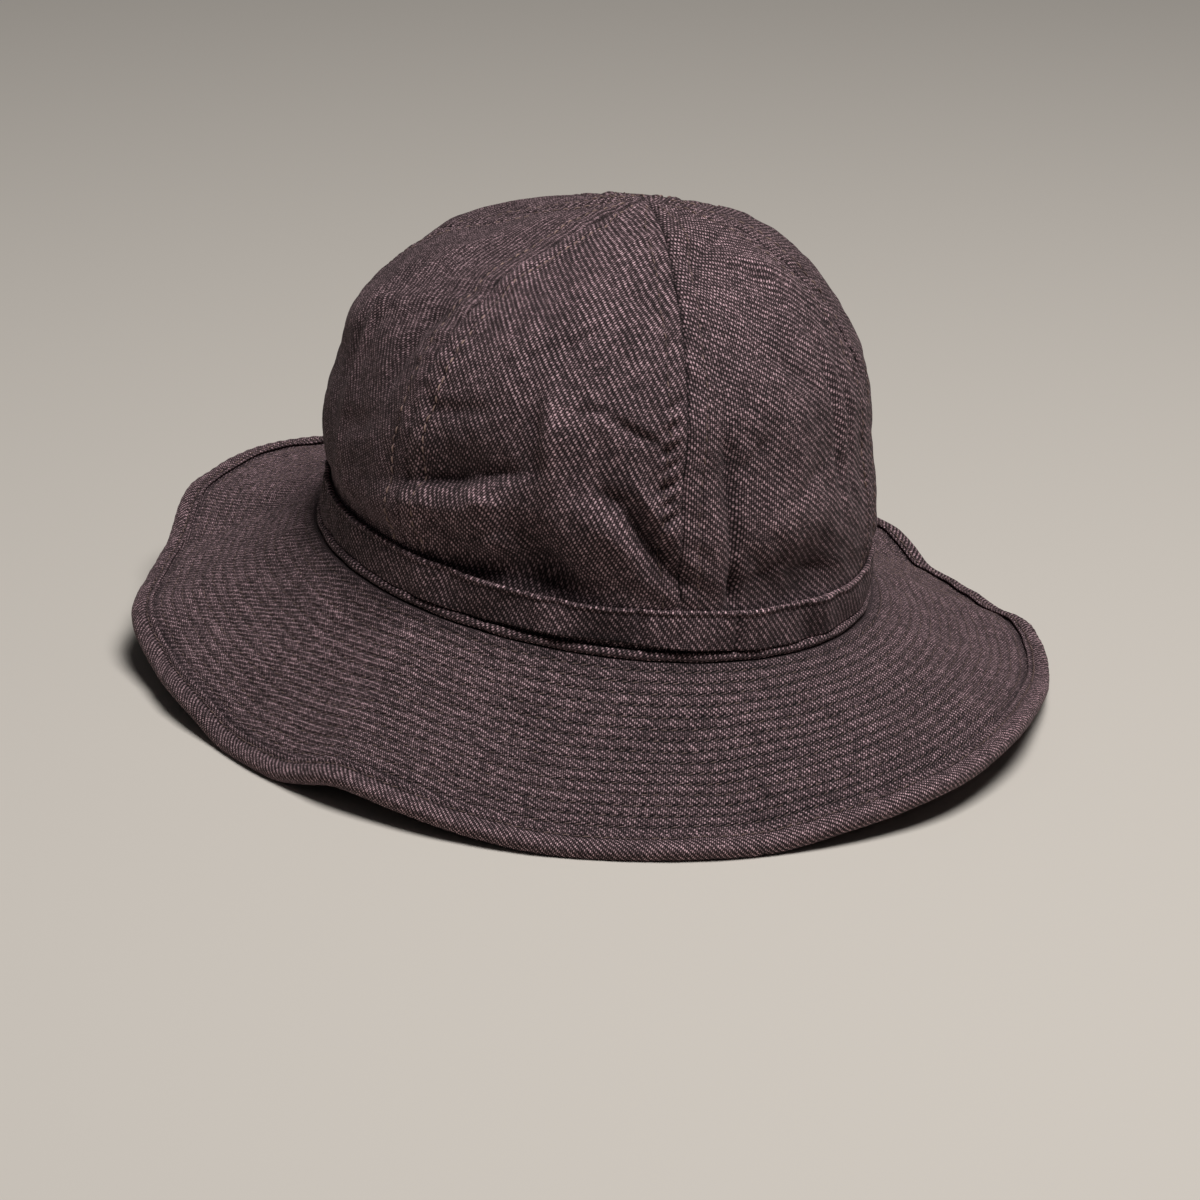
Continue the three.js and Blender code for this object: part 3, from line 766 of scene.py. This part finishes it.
def binding_section():
    """Out and up of a folded strip: under leg, round the nose, back along the top leg, then inside."""
    leg = np.linspace(-BINDING_WIDTH, 0, 14)
    turn = np.linspace(-np.pi / 2, np.pi / 2, NOSE_POINTS)[1:-1]
    under_out, under_up = leg, np.full_like(leg, -BRIM_WALL - GAP - BINDING_WALL)
    nose_out, nose_up = RIM_NOSE * np.cos(turn), -0.9 + 2.1 * np.sin(turn)
    top_out = leg[::-1]
    top_up = GAP + BINDING_WALL + 0.7 * bump(leg[::-1], -2.0, 2.2)
    deep = [-BINDING_WIDTH - 0.3, -BINDING_WIDTH + 0.1, 0.3]
    inner_out = np.array(deep + deep[::-1])
    inner_up = np.array([0.75, 0.3, 0.3, -2.1, -2.1, -2.5])
    outs = np.concatenate([under_out, nose_out, top_out, inner_out])
    ups = np.concatenate([under_up, nose_up, top_up, inner_up])
    outer = np.concatenate([np.ones(len(outs) - len(inner_out)), np.zeros(len(inner_out))])
    return outs[None, :], ups[None, :], outer[None, :]


def binding_ripple(angle, out):
    """Ripples of bias cloth across the strip, the pull of the stitches, and the notch of its join."""
    along = angle * EDGE_ROUND
    ripple = 0.13 * np.sin(2 * np.pi * (along + 0.6 * out) / 4.6 + 1.5 * np.sin(along / 31))
    ripple = ripple * (0.55 + 0.45 * np.sin(along / 47 + 1))
    past_join = (np.degrees(angle) - BINDING_JOIN) * np.radians(1) * EDGE_ROUND
    notch = -0.55 * bump(past_join + 0.25 * out, 0, 0.7)
    return ripple - 0.7 * bump(out, BINDING_STITCH, 0.7) + notch


bind_out, bind_up, bind_outer = binding_section()
bind_way = 1 + bind_out / brim_slant(bind_angle)
bind_all = np.broadcast_to(bind_angle, bind_way.shape)
inside = np.minimum(bind_way, 1)
normal = brim_up(bind_all, inside)
follow = quilt_lift(bind_all, inside)
side = np.where(bind_up > -0.9, 1.0, -1.0)
raised = bind_up + follow + side * bind_outer * binding_ripple(bind_all, bind_out)
outward = brim_sheet(bind_all, np.ones_like(bind_way)) - brim_sheet(bind_all, np.full_like(bind_way, 0.99))
outward = unit(outward)
beyond = np.maximum(bind_out, 0) * np.ones_like(bind_way)
bind_points = brim_sheet(bind_all, inside) + normal * raised[..., None] + outward * beyond[..., None]
bind_points[..., 2] = np.maximum(bind_points[..., 2], 0)
bind_arc = np.cumsum(np.append(0, np.hypot(np.diff(bind_out[0]), np.diff(bind_up[0]))))[None, :]
bind_arc = np.broadcast_to(bind_arc, bind_way.shape)
bind_cloth = BINDING_FINENESS * flat_place(bind_all * EDGE_ROUND, bind_arc, -8)
# Binding tone: rubbed lighter at the nose and the inner edge; painted shade along the stitch groove.
bind_wear_and_shade = 0.5 * bump(bind_out, -0.6, 1.6) + 0.25 * bump(bind_out, -BINDING_WIDTH, 0.6)
bind_wear_and_shade = (bind_wear_and_shade - 0.7 * bump(bind_out, BINDING_STITCH, 0.6)) * np.ones_like(bind_way)
binding = ring_piece("brim_binding_cloth", bind_points, bind_cloth, bind_wear_and_shade)
finish_piece(binding, "brim_binding")

# %% [markdown]
# ## Stitches
# The thread is a warm tan that shows as fine dashes on the dark cloth. Each stitch is a short bent
# tube whose ends dive into the cloth. All stitches of one kind of row are worked out together as
# one array and joined in one mesh, which is lighter than thousands of objects.

# %% Stitch helper
STITCH_RINGS, STITCH_SIDES = 4, 6


def along_path(values, arc, where):
    """Values along a path at given distances, by straight interpolation of each component."""
    return np.stack([np.interp(where, arc, values[:, axis]) for axis in range(3)], axis=-1)


def stitch_row(points, normals, step, length, radius, tones, seed):
    """Tubes for one row: centre line on the path, raised in the middle, slanting, ends sunk in the cloth."""
    draw = np.random.default_rng(seed)
    arc = np.append(0, np.cumsum(np.linalg.norm(np.diff(points, axis=0), axis=1)))
    count = int(arc[-1] / step)
    start = (np.arange(count) + 0.15) * arc[-1] / count + draw.normal(0, 0.06 * step, count)
    share = np.linspace(0, 1, STITCH_RINGS)[None, :]
    where = start[:, None] + length * share
    centre = along_path(points, arc, where)
    up = along_path(normals, arc, where)
    ahead = along_path(points, arc, where + 0.2) - along_path(points, arc, where - 0.2)
    ahead = ahead / np.maximum(np.linalg.norm(ahead, axis=-1, keepdims=True), 1e-9)
    beside = np.cross(up, ahead)
    slant = (share - 0.5) * draw.normal(0.16, 0.12, count)[:, None] * length
    lift = radius * (1.5 * np.sin(np.pi * share) - 0.75) * np.ones((count, 1))
    thick = radius * (0.6 + 0.4 * np.sin(np.pi * share))
    centre = centre + up * lift[..., None] + beside * slant[..., None]
    turn = np.linspace(0, 2 * np.pi, STITCH_SIDES, endpoint=False)
    round_up = up[:, :, None, :] * np.sin(turn)[:, None] + beside[:, :, None, :] * np.cos(turn)[:, None]
    tubes = centre[:, :, None, :] + round_up * thick[..., None, None]
    tone = np.broadcast_to(draw.uniform(*tones, count)[:, None, None], tubes.shape[:3])
    return tubes, tone


def stitch_piece(name, rows):
    """Joins rows of stitch tubes in one mesh, with a pair of faces to cap each end."""
    tubes = np.concatenate([row[0] for row in rows])
    tone = np.concatenate([row[1] for row in rows])
    count, rings, sides = tubes.shape[:3]
    ring = np.arange(rings * sides).reshape(rings, sides)
    walls = grid_quads(ring, wrap_columns=True)
    first, last = ring[0], ring[-1]
    caps = np.array([first[[3, 2, 1, 0]], first[[5, 4, 3, 0]], last[[0, 1, 2, 3]], last[[0, 3, 4, 5]]])
    one = np.vstack([walls, caps])
    quads = (one[None] + (np.arange(count) * rings * sides)[:, None, None]).reshape(-1, 4)
    piece = make_piece(name, tubes.reshape(-1, 3), quads, np.zeros((tone.size, 3)), tone.ravel())
    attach(piece, "root")
    print(name, "has", count, "stitches")
    return piece


# %% [markdown]
# ## Rows of stitching
# Two rows run beside every crown seam, rings cover the brim, and one row holds the binding on
# each face. Each row follows the same lifted surface as its cloth, so it lies in its own dip.

# %% Make the stitches
THREAD_RADIUS = 0.25
SEAM_THREAD = dict(step=3.2, length=2.4, radius=1.1 * THREAD_RADIUS)
QUILT_THREAD = dict(step=QUILT_STITCH, length=2.2, radius=0.7 * THREAD_RADIUS, tones=(0, 0.3))
BINDING_THREAD = dict(step=2.9, length=2.2, radius=0.7 * THREAD_RADIUS, tones=(0, 0.5))
SEAM_TONES = [(0, 0.4), (0.05, 0.6), (0.05, 0.6), (0.05, 0.6), (0.1, 0.6), (0.2, 0.95)]


def crown_row(seam, side):
    """Path beside one crown seam at the stitch distance, from the band nearly to the top, and normals."""
    up = np.linspace(15, CLIMB_END - 7, 260)
    speed = MEAN_HALF * crown["scale"](up)
    drift = 0.35 * np.sin(up / 11 + seam + side) + 0.2 * np.sin(up / 4.1 + 2 * seam)
    away = np.minimum(SEAM_STITCH + drift, 0.25 * speed)
    angle = np.radians(FIRST_SEAM + seam * 360 / PANELS) + side * away / speed
    index = seam if side > 0 else seam - 1
    width = speed * np.radians(360 / PANELS)
    across = side * (away - width / 2)
    full = crown_lift(angle, up, away, across + PANEL_APART * (index % PANELS), seam)[1]
    return crown_cloth(angle, up, full), dome_out(angle, up)


crown_rows = []
for seam in range(PANELS):
    for side in (-1, 1):
        path, normals = crown_row(seam, side)
        seed = 100 + 2 * seam + side
        crown_rows.append(stitch_row(path, normals, tones=SEAM_TONES[seam], seed=seed, **SEAM_THREAD))
crown_stitches = stitch_piece("crown_stitches", crown_rows)

closed = RING_START + np.linspace(0, 2 * np.pi, 1441)
brim_rows = []
for number, way in enumerate(quilt_ways):
    ways = np.full_like(closed, way)
    path = brim_cloth(closed, ways, quilt_lift(closed, ways))
    normals = brim_up(closed, ways)
    brim_rows.append(stitch_row(path, normals, seed=200 + number, **QUILT_THREAD))
brim_stitches = stitch_piece("brim_stitches", brim_rows)

binding_rows = []
for face_side, height in ((1, GAP + BINDING_WALL - 0.1), (-1, -BRIM_WALL - GAP - BINDING_WALL + 0.3)):
    ways = 1 + BINDING_STITCH / brim_slant(closed)
    ripple = face_side * 0.12 * np.sin(2 * np.pi * closed * EDGE_ROUND / 4.6)
    lift = height + quilt_lift(closed, ways) + ripple
    path = brim_cloth(closed, ways, lift)
    normals = face_side * brim_up(closed, ways)
    binding_rows.append(stitch_row(path, normals, seed=300 + face_side, **BINDING_THREAD))
binding_stitches = stitch_piece("binding_stitches", binding_rows)

# %% [markdown]
# The brim is cut as part of a wide ring, so its flat area is much less than the square around it.
# This cell prints how many pieces of cloth there are.

# %% Count of cloth pieces
print("declared", len(panels) + 4, "pieces of cloth")

# %% [markdown]
# ## Node helpers
# A woven pattern is a long formula. Writing it one node at a time hides it, so a small class lets a
# node's output be added and multiplied like a number. Each step still places one plain math node.


# %% Wires and other small nodes
class Wire:
    """Output of a shader node; each sum, product or other step on it places one math node."""

    def __init__(self, tree, output):
        self.tree = tree
        self.output = output

    def math(self, operation, *values):
        node = self.tree.nodes.new("ShaderNodeMath")
        node.operation = operation
        for slot, value in zip(node.inputs, (self, *values)):
            feed(slot, value)
        return Wire(self.tree, node.outputs[0])

    def __add__(self, other):
        return self.math("ADD", other)

    def __sub__(self, other):
        return self.math("SUBTRACT", other)

    def __mul__(self, other):
        return self.math("MULTIPLY", other)

    def __truediv__(self, other):
        return self.math("DIVIDE", other)

    def power(self, exponent):
        return self.math("MAXIMUM", 0.0).math("POWER", exponent)

    def parts(self):
        node = self.tree.nodes.new("ShaderNodeSeparateXYZ")
        feed(node.inputs[0], self)
        return [Wire(self.tree, slot) for slot in node.outputs]


def feed(slot, value):
    """Links a wire to a socket, or sets the socket to a plain value."""
    if isinstance(value, Wire):
        value.tree.links.new(value.output, slot)
    else:
        slot.default_value = value


def vector(x, y, z):
    """Vector from a wire and two more wires or numbers."""
    node = x.tree.nodes.new("ShaderNodeCombineXYZ")
    for slot, value in zip(node.inputs, (x, y, z)):
        feed(slot, value)
    return Wire(x.tree, node.outputs[0])


def pick(choose, low, high):
    """Value between two others by a factor."""
    node = choose.tree.nodes.new("ShaderNodeMix")
    for number, value in ((0, choose), (2, low), (3, high)):
        feed(node.inputs[number], value)
    return Wire(choose.tree, node.outputs[0])


def noise(place, scale, detail, output=0):
    """Noise over a place: output 0 is a value and output 1 a colour."""
    node = place.tree.nodes.new("ShaderNodeTexNoise")
    feed(node.inputs["Vector"], place)
    node.inputs["Scale"].default_value = scale
    node.inputs["Detail"].default_value = detail
    return Wire(place.tree, node.outputs[output])


def new_group(name, inputs, outputs):
    """Node group with named sockets: a number is a value's start, None makes a vector."""
    tree = bpy.data.node_groups.new(name, "ShaderNodeTree")
    for label, value in inputs.items():
        kind = "NodeSocketVector" if value is None else "NodeSocketFloat"
        made = tree.interface.new_socket(label, in_out="INPUT", socket_type=kind)
        if value is not None:
            made.default_value = value
    for label in outputs:
        tree.interface.new_socket(label, in_out="OUTPUT", socket_type="NodeSocketFloat")
    source = tree.nodes.new("NodeGroupInput")
    given = {label: Wire(tree, source.outputs[label]) for label in inputs}
    return tree, given, tree.nodes.new("NodeGroupOutput").inputs


# %% [markdown]
# ## Linen twill
# Twill has floats that step one yarn sideways in each row, which makes its diagonal lines. Here
# the warp passes over two wefts and under one, so wide rows of warp beads lie between narrow dark
# lines. The node group counts yarns both ways on the flat cloth, finds which yarn is on top, and
# rounds it into a height. The yarns cross a little out of square, as they do in washed twill.
# Every float, yarn and diagonal line gets its own tone, because linen is uneven. One float of
# each pair is also lighter, a painted highlight on the side of each twill line that faces the light.

# %% Twill node group
WARP_PITCH, WEFT_PITCH = 0.78, 0.63
YARN_SKEW, YARN_DRIFT = -0.107, 0.9
TWILL_REPEAT = 3.0
TONE_APART = 3.7


def make_twill():
    """Group of a two-over-one twill: yarn numbers, top yarn, rounded height, tone of each float."""
    inputs = {"Cloth": None, "Warp pitch": WARP_PITCH, "Weft pitch": WEFT_PITCH, "Weft show": 0.25}
    group, given, result = new_group("linen_twill", inputs, ("Height", "Tone"))
    cloth = given["Cloth"]
    spot = cloth.parts()
    bend = noise(cloth, 0.09, 2.0, output=1).parts()
    yarns = []
    for axis, pitch in enumerate(("Warp pitch", "Weft pitch")):
        skewed = spot[1 - axis] * YARN_SKEW + spot[axis]
        yarns.append(((bend[axis] - 0.5) * YARN_DRIFT + skewed) / given[pitch])
    warp, weft = (yarn.math("FLOOR") for yarn in yarns)
    in_warp, in_weft = (yarn.math("FRACT") - 0.5 for yarn in yarns)
    order = (warp + weft).math("FLOORED_MODULO", TWILL_REPEAT)
    warp_up = order.math("LESS_THAN", 1.5)
    across_warp, across_weft = ((part * np.pi).math("COSINE") for part in (in_warp, in_weft))
    float_bow = ((order + in_weft + 0.5) * (np.pi / 2)).math("SINE")
    arch = pick(warp_up, across_weft, float_bow).power(0.4)
    level = pick(warp_up, noise(cloth, 0.06, 1.0) * 0.5 + given["Weft show"], 1.0)
    rough = noise(cloth, 2.6, 1.0) * 1.2 + 0.4
    feed(result["Height"], level * (arch * across_warp.power(0.7)) * rough)
    spark = group.nodes.new("ShaderNodeTexWhiteNoise")
    spark.noise_dimensions = "3D"
    feed(spark.inputs["Vector"], vector(warp, weft, warp_up))
    sparkle = Wire(group, spark.outputs["Value"]).math("POWER", 2.0)
    yarn_x = pick(warp_up, yarns[0] * 0.08, warp * TONE_APART)
    yarn_y = pick(warp_up, weft * TONE_APART, yarns[1] * 0.08)
    slub = noise(vector(yarn_x, yarn_y, 0.0), 1.0, 1.0)
    # One float of each pair is lighter than the other: a painted highlight on the side of each twill line
    # that catches the light.
    crest_highlight = pick(order.math("LESS_THAN", 0.5), 0.88, 1.14)
    plain = sparkle * 0.55 + (slub * 0.2 + 0.48)
    wale = ((warp + weft) / TWILL_REPEAT).math("FLOOR")
    wale_place = vector(wale * TONE_APART, (yarns[0] - yarns[1]) * 0.05, 9.0)
    streak = noise(wale_place, 1.0, 1.0) * 0.6 + 0.7
    feed(result["Tone"], plain * crest_highlight * streak)
    return group


twill_group = make_twill()
print("twill group has", len(twill_group.nodes), "nodes")

# %% [markdown]
# ## Quilting dimples
# Between two stitches of a quilting row the thread goes down through the plies and leaves a small
# dimple. The brim stores its row number and the stitch count along the row at each point, so
# a short node group can draw every dimple and the shallow valley of the row without more points,
# as a bump and as painted shade on the colour.
# A third number says how tight the thread is drawn, which is most at the front of the brim.

# %% Quilting node group
ROW_REACH, DIMPLE_REACH = 4.2, 3.6


def make_quilt():
    """Group giving a height below zero and a painted shade factor.
    Both are bell curves of the distance to the nearest row and to the nearest dimple."""
    group, given, result = new_group("quilting", {"Rows": None}, ("Height", "Shade", "Tight"))
    row, stitch, drawn = given["Rows"].parts()
    squares = []
    for count, reach in ((row, ROW_REACH), (stitch, DIMPLE_REACH)):
        off = count - count.math("ROUND")
        squares.append((off.math("ABSOLUTE") * reach).math("POWER", 2.0))
    valley = (squares[0] * -1.0).math("EXPONENT")
    dimple = ((squares[0] * 1.6 + squares[1]) * -1.0).math("EXPONENT")
    tight = dimple * drawn
    feed(result["Height"], tight * -1.2 + valley * -0.25)
    feed(result["Shade"], valley * -0.08 + (tight * -0.85 + 1.0))
    feed(result["Tight"], drawn)
    return group


quilt_group = make_quilt()
print("quilting group has", len(quilt_group.nodes), "nodes")

# %% [markdown]
# ## Washed tone, wear, and painted light and shade
# Dark cloth fades unevenly in the wash and rubs lighter along its edges. A third group blends slow
# blotches with the tone value that each piece stores, wear together with painted light and painted
# shade, and gives one factor for the colour.

# %% Wash, wear and painted shade node group
BLOTCHES = 0.3


def make_wash_wear_and_shade():
    """Group giving a tone factor: one, plus slow blotches over the place, plus the stored wear
    with painted light and shade times its strength.
    """
    inputs = {"Place": None, "Wear_shade": 0.0, "Wear_shade_gain": 0.6}
    group, given, result = new_group("wash_wear_and_shade", inputs, ("Factor",))
    slow = noise(given["Place"], 22.0, 3.0) - 0.5
    fine = noise(given["Place"], 160.0, 2.0) - 0.5
    blotch = (fine * 0.7 + slow) * BLOTCHES + 1.0
    feed(result["Factor"], given["Wear_shade"] * given["Wear_shade_gain"] + blotch)
    return group


tone_and_shade_group = make_wash_wear_and_shade()
print("wash group has", len(tone_and_shade_group.nodes), "nodes")

# %% [markdown]
# ## Cloth finishes
# The base colour is a ramp over the weave's height. It is partly the cloth's own colour and partly
# painted light: near black is painted shade in the gaps between yarns, the middle is the brown-plum
# of the cloth, and the pale pinkish top is a painted highlight on the brightest floats. The same
# height drives the bump. Linen has a soft sheen at grazing angles, which the shader's own sheen
# gives. In the tightly quilted front of the brim the wefts lie deeper, so the diagonal lines are
# clearer there.

# %% Material helpers
# Ramp over the weave's height: near black is painted shade in the gaps between yarns, the middle stops are
# the cloth's brown-plum, and the pale top is a painted highlight on the brightest floats.
WEAVE_COLOUR_AND_SHADE_STOPS = [
    (0.00, (0.002, 0.0012, 0.0013)),
    (0.20, (0.014, 0.0083, 0.0090)),
    (0.48, (0.115, 0.0715, 0.0775)),
    (1.00, (0.68, 0.445, 0.480)),
]
THREAD_STOPS = [(0, (0.075, 0.045, 0.043)), (1, (0.40, 0.26, 0.215))]
LINEN_SHEEN = {
    "Specular IOR Level": 0.25,
    "Sheen Weight": 0.05,
    "Sheen Roughness": 0.45,
    "Sheen Tint": (0.75, 0.62, 0.62, 1),
}
WEFT_DRAWN = -0.4
QUILT_DEPTH = 0.8
LEAST_TONE = 0.05


def new_material(name, roughness):
    """Material with its node tree and its Principled shader."""
    material = bpy.data.materials.new(name)
    material.use_nodes = True
    shader = material.node_tree.nodes["Principled BSDF"]
    shader.inputs["Roughness"].default_value = roughness
    return material, material.node_tree, shader


def place_group(tree, group, inputs):
    """Places a node group with wires or numbers on its named inputs; returns its outputs by name."""
    node = tree.nodes.new("ShaderNodeGroup")
    node.node_tree = group
    for label, value in inputs.items():
        feed(node.inputs[label], value)
    return {slot.name: Wire(tree, slot) for slot in node.outputs}


def attribute(tree, name, output):
    """Wire from the mesh's own stored data."""
    node = tree.nodes.new("ShaderNodeAttribute")
    node.attribute_name = name
    return Wire(tree, node.outputs[output])


def ramp_node(tree, value, stops):
    """Colour ramp over a value, from rows of place and colour."""
    node = tree.nodes.new("ShaderNodeValToRGB")
    while len(node.color_ramp.elements) < len(stops):
        node.color_ramp.elements.new(0.5)
    for stop, (where, colour) in zip(node.color_ramp.elements, stops):
        stop.position = where
        stop.color = (*colour, 1)
    feed(node.inputs["Fac"], value)
    return Wire(tree, node.outputs["Color"])


def bump_node(tree, height, depth, under=None):
    """Bump of a depth in millimetres, laid over another one where given."""
    node = tree.nodes.new("ShaderNodeBump")
    node.inputs["Strength"].default_value = 0.8
    node.inputs["Distance"].default_value = depth * MM
    feed(node.inputs["Height"], height)
    if under is not None:
        feed(node.inputs["Normal"], under)
    return Wire(tree, node.outputs["Normal"])


# %% Cloth and thread materials
def cloth_material(name, brightness, wear_shade_gain, depth, weft, fineness=1.0, quilted=False):
    """Twill: ramp colour from height times tone, with bump and any quilting.
    The colour is scaled by brightness, wash blotches, wear, and painted light and shade.
    """
    material, tree, shader = new_material(name, 0.85)
    under = None
    if quilted:
        quilt = place_group(tree, quilt_group, {"Rows": attribute(tree, "rows", "Vector")})
        weft = quilt["Tight"] * WEFT_DRAWN + weft
        under = bump_node(tree, quilt["Height"], QUILT_DEPTH)
    woven = {"Cloth": attribute(tree, "cloth", "Vector"), "Weft show": weft}
    woven.update({"Warp pitch": WARP_PITCH / fineness, "Weft pitch": WEFT_PITCH / fineness})
    weave = place_group(tree, twill_group, woven)
    place_wire = Wire(tree, tree.nodes.new("ShaderNodeTexCoord").outputs["Object"])
    tone_and_shade_inputs = {"Place": place_wire, "Wear_shade": attribute(tree, "tone_wear_and_shade", "Fac"), "Wear_shade_gain": wear_shade_gain}
    factor = place_group(tree, tone_and_shade_group, tone_and_shade_inputs)["Factor"].math("MAXIMUM", LEAST_TONE) * brightness
    if quilted:
        factor = factor * quilt["Shade"]
    scaled = tree.nodes.new("ShaderNodeVectorMath")
    scaled.operation = "SCALE"
    feed(scaled.inputs["Vector"], ramp_node(tree, weave["Height"] * weave["Tone"], WEAVE_COLOUR_AND_SHADE_STOPS))
    feed(scaled.inputs["Scale"], factor)
    feed(shader.inputs["Base Color"], Wire(tree, scaled.outputs["Vector"]))
    feed(shader.inputs["Normal"], bump_node(tree, weave["Height"], depth, under))
    for label, value in LINEN_SHEEN.items():
        shader.inputs[label].default_value = value
    return material


def thread_material():
    """Tan cotton thread, each stitch a little lighter or darker."""
    material, tree, shader = new_material("tan_thread", 0.7)
    feed(shader.inputs["Base Color"], ramp_node(tree, attribute(tree, "tone_wear_and_shade", "Fac"), THREAD_STOPS))
    return material


# Each piece gets its own copy of the twill with its own brightness. These are lit and shaded copies of one
# cloth: the side panels are the darkest copy, painted shade for the sides turned from the light, and band,
# brim and edges are set darker or lighter for the light in the same way.
crown_twill = cloth_material("crown_twill", brightness=0.97, wear_shade_gain=0.5, depth=0.25, weft=0.4)
shaded_side_twill = cloth_material("shaded_side_twill", brightness=0.79, wear_shade_gain=0.5, depth=0.25, weft=0.55)
band_twill = cloth_material("band_twill", brightness=0.85, wear_shade_gain=0.5, depth=0.25, weft=0.35)
brim_twill = cloth_material("brim_twill", 0.91, wear_shade_gain=0.5, depth=0.22, weft=0.8, fineness=1.13, quilted=True)
edge_twill = cloth_material("edge_twill", brightness=1.02, wear_shade_gain=0.6, depth=0.22, weft=0.25)
thread = thread_material()
for index, panel in enumerate(panels):
    panel.data.materials.append(crown_twill if index in FRONT_PANELS else shaded_side_twill)
band.data.materials.append(band_twill)
brim.data.materials.append(brim_twill)
for piece in (welt, binding):
    piece.data.materials.append(edge_twill)
for piece in (crown_stitches, brim_stitches, binding_stitches):
    piece.data.materials.append(thread)
print("cloth finishes:", crown_twill.name, brim_twill.name, edge_twill.name, thread.name)

# %% [markdown]
# ## Floor, light and camera
# The hat lies on a plain pale floor. One soft light hangs above and a little to the right in an
# almost dark room, so the crown's left side and the undersides of the folds fall into shade. The
# camera looks down by about twenty degrees from slightly left of the front seam.

# %% Floor
FLOOR_HALF = 4.0
floor_mesh = bpy.data.meshes.new("pale_floor")
corners = [(-1, -1, 0), (1, -1, 0), (1, 1, 0), (-1, 1, 0)]
floor_mesh.from_pydata((FLOOR_HALF * np.array(corners)).tolist(), [], [(0, 1, 2, 3)])
floor = add_object("pale_floor", floor_mesh)
pale, _, pale_shader = new_material("pale_floor", 0.9)
pale_shader.inputs["Base Color"].default_value = (0.62, 0.57, 0.51, 1)
floor_mesh.materials.append(pale)
print("floor is", 2 * FLOOR_HALF, "m wide")

# %% Light
LIGHT_PLACE, LIGHT_SIZE, LIGHT_WATTS = (0.22, -0.42, 1.60), 0.75, 27.5
LIGHT_AIM = Vector((0, 0, 0.08))
ROOM_TINT, ROOM_STRENGTH = (0.95, 0.97, 1.0, 1), 0.035
lamp = bpy.data.lights.new("soft_overhead", "AREA")
lamp.size = LIGHT_SIZE
lamp.energy = LIGHT_WATTS
lamp_object = add_object("soft_overhead", lamp)
lamp_object.location = LIGHT_PLACE
lamp_object.rotation_euler = (LIGHT_AIM - lamp_object.location).to_track_quat("-Z", "Y").to_euler()
world = bpy.data.worlds.new("soft_room")
world.use_nodes = True
room = world.node_tree.nodes["Background"]
room.inputs["Color"].default_value = ROOM_TINT
room.inputs["Strength"].default_value = ROOM_STRENGTH
bpy.context.scene.world = world
bpy.context.scene.view_settings.view_transform = "Standard"
print("light of", LIGHT_WATTS, "W at", LIGHT_PLACE)

# %% Camera
AZIMUTH, ELEVATION, ROLL = np.radians([-14.11, 19.96, -1.87])
CAMERA_FAR = 1.5
FOCAL_PIXELS, IMAGE_PIXELS = 4768, 1200
FOOT_PIXEL = (593, 550)
SENSOR_WIDTH = 36
flat_back = np.array([np.sin(AZIMUTH), -np.cos(AZIMUTH), 0])
back = flat_back * np.cos(ELEVATION) + np.array([0, 0, np.sin(ELEVATION)])
level = np.array([np.cos(AZIMUTH), np.sin(AZIMUTH), 0])
right = level * np.cos(ROLL) - np.cross(back, level) * np.sin(ROLL)
upward = np.cross(back, right)
eye = FOOT * MM + back * CAMERA_FAR
off_x, off_y = (IMAGE_PIXELS / 2 - np.array(FOOT_PIXEL)) * CAMERA_FAR / FOCAL_PIXELS
target = FOOT * MM + right * off_x - upward * off_y
back = unit(eye - target)
right = unit(np.cross(upward, back))
upward = np.cross(back, right)
camera_data = bpy.data.cameras.new("camera")
camera_data.sensor_width = SENSOR_WIDTH
camera_data.lens = SENSOR_WIDTH * FOCAL_PIXELS / IMAGE_PIXELS
camera = add_object("camera", camera_data)
pose = np.vstack([np.column_stack([right, upward, back, eye]), [0, 0, 0, 1]])
camera.matrix_world = Matrix(pose.tolist())
bpy.context.scene.camera = camera
print("camera at", np.round(eye, 3), "lens", round(camera_data.lens, 1))
